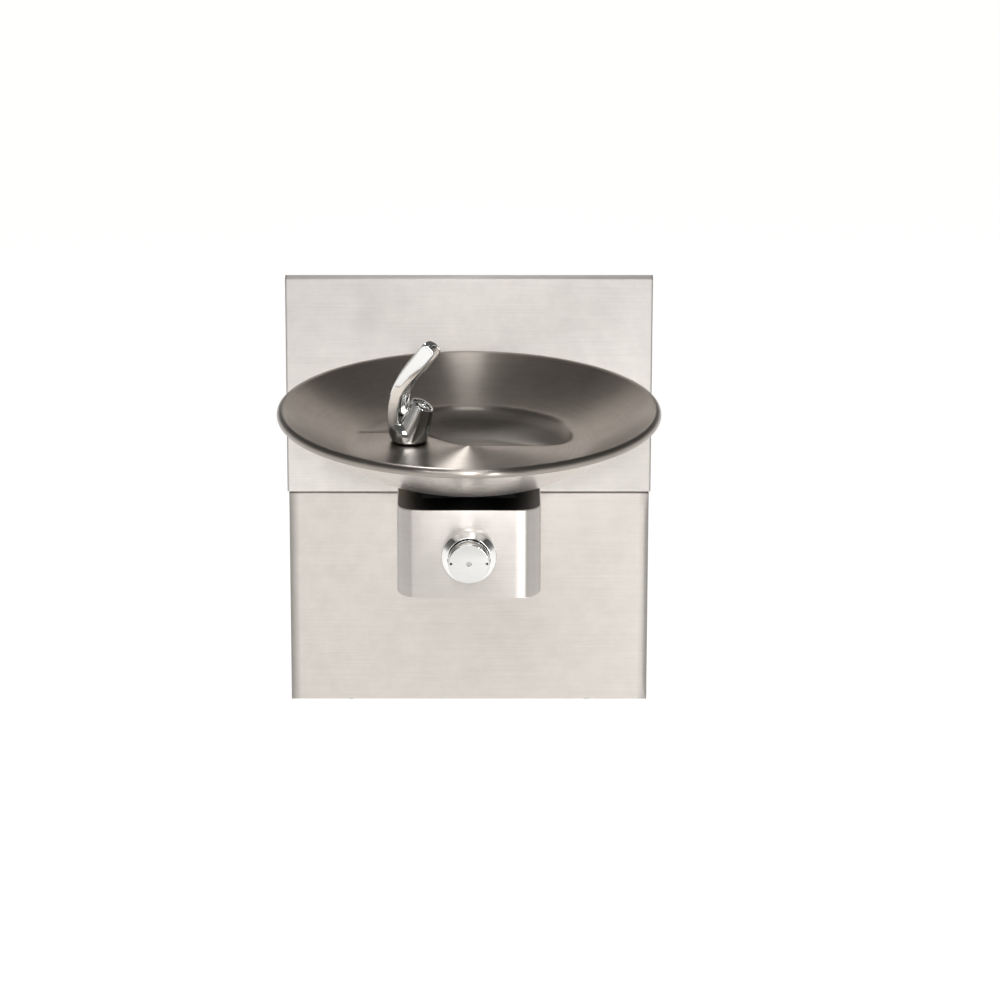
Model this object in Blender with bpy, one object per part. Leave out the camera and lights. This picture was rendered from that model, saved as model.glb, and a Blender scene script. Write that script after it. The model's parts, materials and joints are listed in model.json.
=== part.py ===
"""Wall-mounted drinking fountain: stainless back panels, a hollow arm, a round sculpted bowl,
a chromed bubbler, a push-button valve, and the waste and supply plumbing behind them.

Frame: the wall is the plane y = 0, the room is towards -Y, +Z is up and x = 0 is the middle.
z = 0 is half-way up the two panels. All lengths are metres.
"""

import math

import bmesh
import bpy
from mathutils import Matrix, Vector

# ---- driving dimensions -----------------------------------------------------------------------

GAP = 0.0003                    # left between touching pieces

PANEL_WIDTH = 0.457
PANEL_TOP = 0.2775
PANEL_BOTTOM = -0.2825
PANEL_FRONT = -0.018            # front face of both panels
PANEL_SHEET = 0.0012
SEAM_HEIGHT = -0.0030           # between the two panels
SEAM_HALF_GAP = 0.0009
LOWER_PANEL_INSET = 0.0020      # the access panel is narrower by this much a side

PLATE_HALF_WIDTH = 0.200
PLATE_HALF_HEIGHT = 0.270
PLATE_FRONT = -0.003

RIM_HEIGHT = 0.1861             # top of the bowl's rim
BOWL_CENTRE_Y = -0.2510
ROLL_RADIUS = 0.0060            # the rim is a full round edge
ROLL_CENTRE_RADIUS = 0.2256
ROLL_INNER_ANGLE = math.radians(38.0)
ROLL_JOINT_ANGLE = math.radians(135.0)
BOWL_SHEET = 0.0015
SHELL_SHEET = 0.0012
WALL_FOOT_RADIUS = 0.146        # foot of the sloping wall inside the bowl
WALL_FOOT_DEPTH = 0.046
DECK_DEPTH = 0.047              # level shelf that carries the bubbler
FLOOR_DEPTH = 0.071             # floor of the sunken basin at the drain
FLOOR_FALL = 0.07               # slope of that floor towards the drain
SHELL_BOTTOM_DEPTH = 0.076
DRAIN_SEAT = 0.0225             # radius of the level seat round the drain

BUBBLER = Vector((-0.072, BOWL_CENTRE_Y + 0.018))
DRAIN = Vector((0.020, BOWL_CENTRE_Y + 0.036))

ARM_HALF_WIDTH = 0.0857
ARM_FRONT = -0.370
ARM_BACK = PLATE_FRONT - GAP
ARM_TOP = 0.0970
ARM_FRONT_BOTTOM = -0.0138
ARM_CORNER = 0.020
ARM_SHEET = 0.0015
ARM_SLOPE = math.radians(7.0)   # the underside rises towards the wall

BUTTON_HEIGHT = 0.0432          # axis of the push button
BUTTON_RADIUS = 0.0248
BUTTON_TRAVEL = 0.006
BUTTON_FACE = 0.038             # how far the button stands out of the arm
ESCUTCHEON_RADIUS = 0.0327

PIPE_RADIUS = 0.016             # 32 mm waste pipe
PIPE_WALL = 0.0012
TUBE_RADIUS = 0.0048            # 3/8 in supply tube
STOP_VALVE = Vector((-0.060, 0.045, -0.110))

ROUND = 24                      # sides of a turned piece

BOWL_CENTRE = Vector((0.0, BOWL_CENTRE_Y, RIM_HEIGHT))
DECK_HEIGHT = RIM_HEIGHT - DECK_DEPTH
FLOOR_HEIGHT = RIM_HEIGHT - FLOOR_DEPTH
SHELL_BOTTOM = RIM_HEIGHT - SHELL_BOTTOM_DEPTH

# ---- materials: colour, roughness, metallic ----------------------------------------------------

FINISHES = {
    "satin_stainless": ((0.62, 0.60, 0.58, 1.0), 0.32, 1.0),
    "bowl_stainless": ((0.55, 0.52, 0.49, 1.0), 0.22, 1.0),
    "polished_chrome": ((0.86, 0.86, 0.85, 1.0), 0.05, 1.0),
    "zinc_steel": ((0.60, 0.61, 0.62, 1.0), 0.45, 1.0),
    "plain_brass": ((0.72, 0.56, 0.28, 1.0), 0.35, 1.0),
    "copper_tube": ((0.72, 0.38, 0.24, 1.0), 0.35, 1.0),
    "black_rubber": ((0.02, 0.02, 0.02, 1.0), 0.80, 0.0),
    "spring_steel": ((0.50, 0.50, 0.52, 1.0), 0.30, 1.0),
}


def clear_scene():
    for item in list(bpy.data.objects):
        bpy.data.objects.remove(item, do_unlink=True)


def make_material(name):
    colour, roughness, metallic = FINISHES[name]
    material = bpy.data.materials.get(name) or bpy.data.materials.new(name)
    material.use_nodes = True
    shader = material.node_tree.nodes["Principled BSDF"]
    shader.inputs["Base Color"].default_value = colour
    shader.inputs["Roughness"].default_value = roughness
    shader.inputs["Metallic"].default_value = metallic
    material.diffuse_color = colour
    return material


# ---- building blocks ---------------------------------------------------------------------------


def add_mesh(name, bm, finish, outward=True):
    """Turn a bmesh into a named object; a closed body gets its faces turned outwards."""
    if outward:
        bmesh.ops.recalc_face_normals(bm, faces=bm.faces)
    mesh = bpy.data.meshes.new(name)
    bm.to_mesh(mesh)
    bm.free()
    piece = bpy.data.objects.new(name, mesh)
    bpy.context.scene.collection.objects.link(piece)
    if finish:
        mesh.materials.append(make_material(finish))
    return piece


def smooth(piece, degrees=35.0):
    piece.data.shade_smooth()
    piece.data.set_sharp_from_angle(angle=math.radians(degrees))
    return piece


def point_along(piece, direction, location):
    """Place a piece made about local +Z so that +Z points along a world direction."""
    turn = Vector((0.0, 0.0, 1.0)).rotation_difference(Vector(direction))
    piece.rotation_euler = turn.to_euler()
    piece.location = location
    return piece


def box_into(bm, low, high):
    centre = (Vector(low) + Vector(high)) / 2
    size = Vector(high) - Vector(low)
    matrix = Matrix.Translation(centre) @ Matrix.Diagonal((*size, 1.0))
    return bmesh.ops.create_cube(bm, size=1.0, matrix=matrix)["verts"]


def cylinder_into(bm, start, end, radius, sides=12):
    start, end = Vector(start), Vector(end)
    turn = Vector((0.0, 0.0, 1.0)).rotation_difference(end - start).to_matrix().to_4x4()
    bmesh.ops.create_cone(
        bm, cap_ends=True, segments=sides, radius1=radius, radius2=radius,
        depth=(end - start).length, matrix=Matrix.Translation((start + end) / 2) @ turn,
    )


def box(name, low, high, finish):
    bm = bmesh.new()
    box_into(bm, low, high)
    return add_mesh(name, bm, finish)


def combine(target, tool, operation):
    """Cut or add another solid; the tool stays in the file as a guide."""
    tool.hide_render = True
    tool.display_type = "WIRE"
    modifier = target.modifiers.new(operation.lower(), "BOOLEAN")
    modifier.operation = operation
    modifier.solver = "EXACT"
    modifier.object = tool
    return target


def cut(target, holes=(), boxes=()):
    """Cut round holes (start, end, radius) and boxes (low, high), none of which overlap."""
    bm = bmesh.new()
    for start, end, radius in holes:
        cylinder_into(bm, start, end, radius)
    for low, high in boxes:
        box_into(bm, low, high)
    tool = add_mesh(target.name + "_cutter", bm, None)
    return combine(target, tool, "DIFFERENCE")


HEXAGON = "hexagon"
OVAL = "oval"


def ring_radius(radius, angle, shape):
    """Radius of a ring at an angle: a circle, a hexagon by its corners, or a 2:1 oval."""
    if shape == HEXAGON:
        sixth = math.pi / 3
        from_middle = angle % sixth - sixth / 2
        return radius * math.cos(sixth / 2) / math.cos(from_middle)
    if shape == OVAL:
        return radius / math.hypot(math.cos(angle), 2 * math.sin(angle))
    return radius


def turned(name, profile, finish, sides=ROUND, ring=False, shapes=None):
    """Solid of revolution about local +Z through (radius, height) points.

    A ring joins its last point to its first. Otherwise the ends are closed by a disc or a tip.
    shapes gives the profile points whose ring isn't round.
    """
    shapes = shapes or {}
    bm = bmesh.new()
    rows = []
    for index, (radius, height) in enumerate(profile):
        if radius == 0:
            rows.append([bm.verts.new((0.0, 0.0, height))])
            continue
        row = []
        for step in range(sides):
            angle = 2 * math.pi * step / sides
            reach = ring_radius(radius, angle, shapes.get(index))
            row.append(bm.verts.new((reach * math.cos(angle), reach * math.sin(angle), height)))
        rows.append(row)
    pairs = list(zip(rows, rows[1:]))
    if ring:
        pairs.append((rows[-1], rows[0]))
    for lower, upper in pairs:
        join_rows(bm, lower, upper)
    if not ring:
        for row in (rows[0], rows[-1]):
            if len(row) > 1:
                bm.faces.new(row)
    return smooth(add_mesh(name, bm, finish))


def join_rows(bm, lower, upper):
    sides = max(len(lower), len(upper))
    for step in range(sides):
        after = (step + 1) % sides
        if len(lower) == 1:
            bm.faces.new((lower[0], upper[after], upper[step]))
        elif len(upper) == 1:
            bm.faces.new((lower[step], lower[after], upper[0]))
        else:
            bm.faces.new((lower[step], lower[after], upper[after], upper[step]))


def collar(name, inner, outer, length, finish, direction, location, shape=None, sides=ROUND):
    """A plain ring, or a hexagon nut when shape is HEXAGON."""
    profile = [(inner, 0.0), (outer, 0.0), (outer, length), (inner, length)]
    shapes = {1: shape, 2: shape}
    piece = turned(name, profile, finish, sides=sides, ring=True, shapes=shapes)
    return point_along(piece, direction, location)


def bolt(name, head_radius, head_length, shank_radius, shank_length, direction, location,
         shape=HEXAGON):
    """A bolt whose shank leaves the underside of its head, at location, along direction."""
    profile = [
        (head_radius * 0.86, -head_length), (head_radius, -head_length * 0.8),
        (head_radius, 0.0), (shank_radius, 0.0),
        (shank_radius, shank_length - shank_radius * 0.4),
        (shank_radius * 0.7, shank_length),
    ]
    piece = turned(name, profile, "zinc_steel", sides=12, shapes={1: shape, 2: shape})
    return point_along(piece, direction, location)


def rounded_route(corners, bend_radius, steps=5):
    """Straight runs joined by arcs of the bend radius."""
    corners = [Vector(corner) for corner in corners]
    route = [corners[0]]
    for before, corner, after in zip(corners, corners[1:], corners[2:]):
        arriving = (corner - before).normalized()
        leaving = (after - corner).normalized()
        turn = arriving.angle(leaving)
        back = bend_radius * math.tan(turn / 2)
        start = corner - arriving * back
        inward = (leaving - arriving * arriving.dot(leaving)).normalized()
        for step in range(steps + 1):
            angle = turn * step / steps
            along = arriving * (bend_radius * math.sin(angle))
            across = inward * (bend_radius * (1 - math.cos(angle)))
            route.append(start + along + across)
    route.append(corners[-1])
    return route


def pipe(name, route, radius, finish, wall=0.0, resolution=2):
    """A pipe along a route: solid, or hollow with open ends when it has a wall thickness."""
    curve = bpy.data.curves.new(name, "CURVE")
    curve.dimensions = "3D"
    curve.bevel_depth = radius
    curve.bevel_resolution = resolution
    curve.render_resolution_u = 0
    curve.use_fill_caps = wall == 0
    spline = curve.splines.new("POLY")
    spline.points.add(len(route) - 1)
    for point, place in zip(spline.points, route):
        point.co = (*place, 1.0)
    curve.materials.append(make_material(finish))
    piece = bpy.data.objects.new(name, curve)
    bpy.context.scene.collection.objects.link(piece)
    if wall:
        thickness = piece.modifiers.new("wall", "SOLIDIFY")
        thickness.thickness = wall
        thickness.offset = -1.0
    return piece


# ---- wall plate and panels ---------------------------------------------------------------------

ACCESS_OPENING = ((-0.130, -0.235), (0.130, -0.060))     # x, z corners, behind the access panel
PIPE_OPENING = ((-0.055, 0.036), (0.055, 0.088))         # x, z corners, behind the arm
WALL_BOLT_X, WALL_BOLT_Z = 0.175, 0.225
ARM_BOLT_X, ARM_BOLT_Z = 0.0725, (0.045, 0.082)
PANEL_SCREW_X, PANEL_SCREW_Y = 0.150, -0.010


def wall_plate():
    plate = box("wall_plate", (-PLATE_HALF_WIDTH, PLATE_FRONT, -PLATE_HALF_HEIGHT),
                (PLATE_HALF_WIDTH, 0.0, PLATE_HALF_HEIGHT), "zinc_steel")
    holes = []
    for x in (-WALL_BOLT_X, WALL_BOLT_X):
        for z in (-WALL_BOLT_Z, WALL_BOLT_Z):
            holes.append(((x, -0.01, z), (x, 0.01, z), 0.0046))
    for x in (-ARM_BOLT_X, ARM_BOLT_X):
        for z in ARM_BOLT_Z:
            holes.append(((x, -0.01, z), (x, 0.01, z), 0.0036))
    windows = []
    for (x_low, z_low), (x_high, z_high) in (ACCESS_OPENING, PIPE_OPENING):
        windows.append(((x_low, -0.01, z_low), (x_high, 0.01, z_high)))
    return cut(plate, holes, windows)


def wall_bolts():
    places = {"upper_left": (-1, 1), "upper_right": (1, 1),
              "lower_left": (-1, -1), "lower_right": (1, -1)}
    for name, (across, up) in places.items():
        location = (across * WALL_BOLT_X, PLATE_FRONT - GAP, up * WALL_BOLT_Z)
        bolt("wall_bolt_" + name, 0.0075, 0.0053, 0.0040, 0.036, (0, 1, 0), location)


def folded_panel(name, half_width, bottom, top, shallow_edge):
    """A sheet tray open towards the wall, its front edges slightly rounded.

    The flange at the seam is shallow, because it lies in front of the wall plate.
    """
    bm = bmesh.new()
    box_into(bm, (-half_width, PANEL_FRONT, bottom), (half_width, -GAP, top))
    front_edges = [edge for edge in bm.edges
                   if all(abs(vert.co.y - PANEL_FRONT) < 1e-6 for vert in edge.verts)]
    bmesh.ops.bevel(bm, geom=front_edges, offset=0.0015, segments=2, profile=0.5,
                    affect="EDGES")
    panel = add_mesh(name, bm, "satin_stainless")
    inner = half_width - PANEL_SHEET
    hollow = ((-inner, PANEL_FRONT + PANEL_SHEET, bottom + PANEL_SHEET),
              (inner, 0.01, top - PANEL_SHEET))
    cut(panel, boxes=[hollow])
    low, high = sorted((shallow_edge - 0.004, shallow_edge + 0.004))
    relief = box(name + "_relief", (-PLATE_HALF_WIDTH - 0.001, PLATE_FRONT - GAP, low),
                 (PLATE_HALF_WIDTH + 0.001, 0.01, high), None)
    return combine(panel, relief, "DIFFERENCE")


def upper_back_panel():
    edge = SEAM_HEIGHT + SEAM_HALF_GAP
    panel = folded_panel("upper_back_panel", PANEL_WIDTH / 2, edge, PANEL_TOP, edge)
    clearance = 0.0008
    opening = box("arm_opening", (-ARM_HALF_WIDTH - clearance, -0.03, arm_bottom(ARM_BACK) - 0.004),
                  (ARM_HALF_WIDTH + clearance, -0.01, ARM_TOP + clearance), None)
    return combine(panel, opening, "DIFFERENCE")


def lower_access_panel():
    edge = SEAM_HEIGHT - SEAM_HALF_GAP
    half_width = PANEL_WIDTH / 2 - LOWER_PANEL_INSET
    panel = folded_panel("lower_access_panel", half_width, PANEL_BOTTOM, edge, edge)
    holes = []
    for x in (-PANEL_SCREW_X, PANEL_SCREW_X):
        holes.append(((x, PANEL_SCREW_Y, PANEL_BOTTOM - 0.01),
                      (x, PANEL_SCREW_Y, PANEL_BOTTOM + 0.01), 0.0026))
    drill = bmesh.new()
    for start, end, radius in holes:
        cylinder_into(drill, start, end, radius)
    tool = add_mesh("access_panel_drill", drill, None)
    return combine(panel, tool, "DIFFERENCE")


def panel_bracket():
    """Angle on the wall plate that the access panel's bottom flange screws up into."""
    sheet = 0.0015
    bottom = PANEL_BOTTOM + PANEL_SHEET + GAP
    bm = bmesh.new()
    section = [(PLATE_FRONT - GAP, bottom), (-0.0160, bottom), (-0.0160, bottom + sheet),
               (PLATE_FRONT - GAP - sheet, bottom + sheet), (PLATE_FRONT - GAP - sheet, -0.245),
               (PLATE_FRONT - GAP, -0.245)]
    extrude_section(bm, section, -0.180, 0.180)
    bracket = add_mesh("panel_bracket", bm, "zinc_steel")
    holes = [((x, PANEL_SCREW_Y, bottom - 0.01), (x, PANEL_SCREW_Y, bottom + 0.01), 0.0026)
             for x in (-PANEL_SCREW_X, PANEL_SCREW_X)]
    return cut(bracket, holes)


def extrude_section(bm, section, start, end):
    """Close a (y, z) outline and extrude it along x."""
    near = [bm.verts.new((start, y, z)) for y, z in section]
    far = [bm.verts.new((end, y, z)) for y, z in section]
    bm.faces.new(near)
    bm.faces.new(far)
    join_rows(bm, near, far)


def panel_screws():
    for name, x in (("left", -PANEL_SCREW_X), ("right", PANEL_SCREW_X)):
        bolt("access_panel_screw_" + name, 0.0042, 0.0018, 0.0020, 0.012, (0, 0, 1),
             (x, PANEL_SCREW_Y, PANEL_BOTTOM - GAP), shape=None)


# ---- arm ---------------------------------------------------------------------------------------

COVER_INSET = 0.004
LIP_WIDTH = 0.014
COVER_BACK = -0.0205
COVER_SCREWS = [(x, y) for x in (-0.0765, 0.0765) for y in (-0.330, -0.045)]
SADDLE_BOLTS = [(x, BOWL_CENTRE_Y + y) for x in (-0.044, 0.044) for y in (-0.060, 0.086)]
NOSE_HOLE_RADIUS = 0.0116


def arm_bottom(y):
    """Height of the arm's sloping underside."""
    return ARM_FRONT_BOTTOM + (y - ARM_FRONT) * math.tan(ARM_SLOPE)


def arm_outline(inset, back):
    """U-shaped plan outline of the arm, moved inwards by inset and ending at back."""
    half = ARM_HALF_WIDTH - inset
    front = ARM_FRONT + inset
    radius = ARM_CORNER - inset
    points = [(half, back)]
    for side, first in ((1, 0.0), (-1, -math.pi / 2)):
        for step in range(7):
            angle = first - math.pi / 2 * step / 6
            points.append((side * (half - radius) + radius * math.cos(angle),
                           front + radius + radius * math.sin(angle)))
    points.append((-half, back))
    return points


def arm_block(name, inset, back, lowest, highest, finish):
    """Extruded U whose lower and upper faces are given as heights at a distance y."""
    bm = bmesh.new()
    outline = arm_outline(inset, back)
    lower = [bm.verts.new((x, y, lowest(y))) for x, y in outline]
    upper = [bm.verts.new((x, y, highest(y))) for x, y in outline]
    bm.faces.new(lower)
    bm.faces.new(upper)
    join_rows(bm, lower, upper)
    return add_mesh(name, bm, finish)


def arm_shell():
    """Folded sheet housing: closed top and front, a lip round its open bottom, a rear flange."""
    shell = arm_block("arm_shell", 0.0, ARM_BACK, arm_bottom, lambda y: ARM_TOP, "satin_stainless")
    lip = ARM_SHEET / math.cos(ARM_SLOPE)
    inside_back = ARM_BACK - ARM_SHEET
    cavity = arm_block("arm_cavity", ARM_SHEET, inside_back, lambda y: arm_bottom(y) + lip,
                       lambda y: ARM_TOP - ARM_SHEET, None)
    combine(shell, cavity, "DIFFERENCE")
    window = arm_block("arm_window", LIP_WIDTH, -0.036, lambda y: arm_bottom(y) - 0.01,
                       lambda y: arm_bottom(y) + 0.01, None)
    combine(shell, window, "DIFFERENCE")
    holes = [
        ((0.0, ARM_FRONT - 0.01, BUTTON_HEIGHT), (0.0, ARM_FRONT + 0.01, BUTTON_HEIGHT),
         NOSE_HOLE_RADIUS),
        ((*DRAIN, ARM_TOP - 0.01), (*DRAIN, ARM_TOP + 0.01), 0.030),
        ((*BUBBLER, ARM_TOP - 0.01), (*BUBBLER, ARM_TOP + 0.01), 0.0095),
    ]
    for x, y in SADDLE_BOLTS:
        holes.append(((x, y, ARM_TOP - 0.01), (x, y, ARM_TOP + 0.01), 0.0036))
    for x, y in COVER_SCREWS:
        holes.append(((x, y, arm_bottom(y) - 0.006), (x, y, arm_bottom(y) + 0.006), 0.0026))
    for x in (-ARM_BOLT_X, ARM_BOLT_X):
        for z in ARM_BOLT_Z:
            holes.append(((x, ARM_BACK - 0.006, z), (x, ARM_BACK + 0.006, z), 0.0036))
    (x_low, z_low), (x_high, z_high) = PIPE_OPENING
    windows = [((x_low, ARM_BACK - 0.006, z_low), (x_high, ARM_BACK + 0.006, z_high))]
    return cut(shell, holes, windows)


def arm_bolts():
    for side, x in (("left", -ARM_BOLT_X), ("right", ARM_BOLT_X)):
        for level, z in zip(("lower", "upper"), ARM_BOLT_Z):
            location = (x, ARM_BACK - ARM_SHEET - GAP, z)
            bolt("arm_bolt_%s_%s" % (level, side), 0.0058, 0.0040, 0.0030, 0.014, (0, 1, 0),
                 location)


def arm_bottom_cover():
    """Flat plate under the arm's lip, taken off to reach the valve and the slip nut."""
    drop = GAP / math.cos(ARM_SLOPE)
    sheet = ARM_SHEET / math.cos(ARM_SLOPE)
    cover = arm_block("arm_bottom_cover", COVER_INSET, COVER_BACK,
                      lambda y: arm_bottom(y) - drop - sheet, lambda y: arm_bottom(y) - drop,
                      "satin_stainless")
    holes = [((x, y, arm_bottom(y) - 0.006), (x, y, arm_bottom(y) + 0.006), 0.0026)
             for x, y in COVER_SCREWS]
    return cut(cover, holes)


def cover_screws():
    names = ("front_left", "rear_left", "front_right", "rear_right")
    slope = Vector((0.0, -math.sin(ARM_SLOPE), math.cos(ARM_SLOPE)))
    for name, (x, y) in zip(names, COVER_SCREWS):
        under = Vector((x, y, arm_bottom(y))) - slope * (2 * GAP + ARM_SHEET)
        bolt("cover_screw_" + name, 0.0042, 0.0020, 0.0019, 0.009, slope, under, shape=None)


# ---- bowl --------------------------------------------------------------------------------------

BOWL_SIDES = 48
WALL_STEEPNESS = math.tan(ROLL_INNER_ANGLE)
WALL_TOP_RADIUS = ROLL_CENTRE_RADIUS - ROLL_RADIUS * math.sin(ROLL_INNER_ANGLE)
WALL_TOP_DEPTH = ROLL_RADIUS * (1 - math.cos(ROLL_INNER_ANGLE))
SHELL_SLOPE = math.radians(30.0)


def ease(value):
    """Smooth step from 0 to 1."""
    value = min(1.0, max(0.0, value))
    return value * value * (3 - 2 * value)


def blended_minimum(first, second, blend):
    closeness = max(blend - abs(first - second), 0.0) / blend
    return min(first, second) - closeness * closeness * blend / 4


def wall_depth(radius):
    """Depth of the dished wall, steep under the rim and flatter at its foot."""
    run = WALL_TOP_RADIUS - radius
    whole = WALL_TOP_RADIUS - WALL_FOOT_RADIUS
    fading = (WALL_TOP_DEPTH + WALL_STEEPNESS * whole - WALL_FOOT_DEPTH) / whole ** 2
    return WALL_TOP_DEPTH + WALL_STEEPNESS * run - fading * run * run


def basin_margin(x, y):
    """How far a point lies inside the sunken basin's outline."""
    step_back = 1 - ease((x + 0.075) / 0.075)
    front_edge = -0.003 + 0.050 * step_back
    behind_edge = (y - front_edge) / math.hypot(1.0, step_back)
    inside_right = 0.106 - math.hypot(max(x - 0.020, 0.0), y - 0.042)
    inside_wall = WALL_FOOT_RADIUS - math.hypot(x, y)
    margin = blended_minimum(behind_edge, inside_right, 0.030)
    return blended_minimum(margin, inside_wall, 0.006)


def basin_wall_width(x, y):
    """The basin's wall is steep at the front, longer at the back, and fades out at the left."""
    return 0.030 + 0.032 * ease((y - 0.030) / 0.060) + 0.036 * ease((-x - 0.010) / 0.090)


def bowl_depth(x, y):
    """Depth of the bowl's inner surface below the rim at a point measured from its centre."""
    dish = blended_minimum(wall_depth(math.hypot(x, y)), DECK_DEPTH, 0.005)
    share = min(1.0, max(0.0, basin_margin(x, y) / basin_wall_width(x, y)))
    sunk = 1 - (1 - share) ** 1.8
    from_drain = math.hypot(x - DRAIN.x, y - DRAIN.y + BOWL_CENTRE_Y)
    floor = FLOOR_DEPTH - FLOOR_FALL * max(0.0, from_drain - DRAIN_SEAT)
    level_seat = 1 - ease((from_drain - DRAIN_SEAT) / 0.010)
    return dish + max(sunk, level_seat) * (floor - dish)


def roll_point(angle):
    """Radius and depth on the rim's round edge; 0 is the top and positive angles go outwards."""
    return (ROLL_CENTRE_RADIUS + ROLL_RADIUS * math.sin(angle),
            ROLL_RADIUS * (1 - math.cos(angle)))


def ring_centre(radius):
    """The inner rings of the basin's mesh move over to the drain, so that they fit its seat."""
    share = min(1.0, max(0.0, (WALL_FOOT_RADIUS - radius) / (WALL_FOOT_RADIUS - DRAIN_SEAT)))
    return share * DRAIN.x, share * (DRAIN.y - BOWL_CENTRE_Y)


def bowl_rows(bm, profile, depth_at):
    """Rings of a bowl surface: (radius, depth) points first, then radii that use depth_at."""
    rows = []
    for radius, depth in profile:
        row = []
        centre_x, centre_y = (0.0, 0.0) if depth is not None else ring_centre(radius)
        for step in range(BOWL_SIDES):
            angle = 2 * math.pi * step / BOWL_SIDES
            x = centre_x + radius * math.cos(angle)
            y = centre_y + radius * math.sin(angle)
            below = depth_at(x, y) if depth is None else depth
            row.append(bm.verts.new((x, y, -below)))
        rows.append(row)
    x, y = ring_centre(0.0)
    rows.append([bm.verts.new((x, y, -depth_at(x, y)))])
    for outer, inner in zip(rows, rows[1:]):
        join_rows(bm, outer, inner)


def bowl_surface(name, profile, depth_at, thickness, finish):
    """A sheet of the given thickness under (and inside) an upward-facing surface."""
    bm = bmesh.new()
    bowl_rows(bm, profile, depth_at)
    bm.normal_update()
    centre_face = min(bm.faces, key=lambda face: face.calc_center_median().length)
    if centre_face.normal.z < 0:
        bmesh.ops.reverse_faces(bm, faces=bm.faces)
    piece = add_mesh(name, bm, finish, outward=False)
    piece.location = BOWL_CENTRE
    sheet = piece.modifiers.new("sheet", "SOLIDIFY")
    sheet.thickness = abs(thickness)
    sheet.offset = -math.copysign(1.0, thickness)
    sheet.use_even_offset = True
    return smooth(piece, 40.0)


def bowl_basin():
    profile = []
    for step in range(8):
        angle = ROLL_JOINT_ANGLE + (-ROLL_INNER_ANGLE - ROLL_JOINT_ANGLE) * step / 7
        profile.append(roll_point(angle))
    for radius in (0.203, 0.182, 0.163):
        profile.append((radius, None))
    radius = WALL_FOOT_RADIUS + 0.002
    while radius > DRAIN_SEAT:
        profile.append((radius, None))
        radius -= 0.0098
    profile.append((DRAIN_SEAT, None))
    basin = bowl_surface("bowl_basin", profile, bowl_depth, BOWL_SHEET, "bowl_stainless")
    holes = [((*DRAIN, FLOOR_HEIGHT - 0.02), (*DRAIN, FLOOR_HEIGHT + 0.02), 0.0172),
             ((*BUBBLER, DECK_HEIGHT - 0.02), (*BUBBLER, DECK_HEIGHT + 0.02), 0.0072)]
    return cut(basin, holes)


def bowl_shell():
    """Plain dish that closes the bowl's underside; its outer face is the given surface."""
    cone_top = roll_point(math.pi - SHELL_SLOPE)
    profile = [roll_point(ROLL_JOINT_ANGLE + math.radians(5.0)), cone_top]
    cone_foot = 0.134
    profile.append((cone_foot, cone_top[1] + (cone_top[0] - cone_foot) * math.tan(SHELL_SLOPE)))
    profile += [(0.121, 0.0712), (0.108, 0.0742), (0.092, SHELL_BOTTOM_DEPTH)]
    shell = bowl_surface("bowl_shell", profile, lambda x, y: SHELL_BOTTOM_DEPTH,
                         -SHELL_SHEET, "satin_stainless")
    holes = [((*DRAIN, SHELL_BOTTOM - 0.01), (*DRAIN, SHELL_BOTTOM + 0.01), 0.030),
             ((*BUBBLER, SHELL_BOTTOM - 0.01), (*BUBBLER, SHELL_BOTTOM + 0.01), 0.0072)]
    return cut(shell, holes)


def bowl_saddle():
    """Block between the arm's top and the bowl, bolted through from inside the arm."""
    low, high = ARM_TOP + GAP, SHELL_BOTTOM - GAP
    saddle = box("bowl_saddle", (-0.056, BOWL_CENTRE_Y - 0.075, low),
                 (0.056, BOWL_CENTRE_Y + 0.102, high), "zinc_steel")
    holes = [((*DRAIN, low - 0.01), (*DRAIN, high + 0.01), 0.030)]
    for x, y in SADDLE_BOLTS:
        holes.append(((x, y, low - 0.01), (x, y, high + 0.01), 0.0036))
    return cut(saddle, holes)


def saddle_bolts():
    names = ("front_left", "rear_left", "front_right", "rear_right")
    for name, (x, y) in zip(names, SADDLE_BOLTS):
        bolt("saddle_bolt_" + name, 0.0058, 0.0040, 0.0030, 0.0135, (0, 0, 1),
             (x, y, ARM_TOP - ARM_SHEET - GAP))


# ---- drain and waste ---------------------------------------------------------------------------

SLEEVE_LENGTH = 0.027
SLEEVE_END = FLOOR_HEIGHT - SLEEVE_LENGTH
WASTE_RUN_HEIGHT = 0.0597
DOWN_PIPE_Y = 0.065
TRAP_INLET_Z = -0.030
TRAP_OUTLET_Z = -0.055
TRAP_WIDTH = 0.076
TRAP_BOTTOM_Z = -0.122
WASTE_OUTLET_Y = 0.130
WASTE_OUTLET_Z = -0.022


def drain_fitting():
    """Flanged sleeve through the basin floor."""
    profile = [(0.0165, GAP), (0.0205, GAP), (0.0205, 0.0012), (0.0195, 0.0020),
               (0.0184, 0.0020), (0.0184, 0.0009), (0.0150, 0.0009), (0.0150, -SLEEVE_LENGTH),
               (0.0165, -SLEEVE_LENGTH)]
    fitting = turned("drain_fitting", profile, "polished_chrome", ring=True)
    fitting.location = (*DRAIN, FLOOR_HEIGHT)


def waste_strainer():
    profile = [(0.0, 0.0012), (0.0180, 0.0012), (0.0180, 0.0018), (0.0100, 0.0024), (0.0, 0.0026)]
    strainer = turned("waste_strainer", profile, "polished_chrome")
    strainer.location = (*DRAIN, FLOOR_HEIGHT)
    bm = bmesh.new()
    for count, reach in ((4, 0.0045), (8, 0.0110)):
        for step in range(count):
            angle = 2 * math.pi * step / count
            place = Vector((DRAIN.x + reach * math.cos(angle), DRAIN.y + reach * math.sin(angle)))
            cylinder_into(bm, (*place, FLOOR_HEIGHT - 0.01), (*place, FLOOR_HEIGHT + 0.01),
                          0.0021, sides=8)
    tool = add_mesh("strainer_punch", bm, None)
    combine(strainer, tool, "DIFFERENCE")


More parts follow.
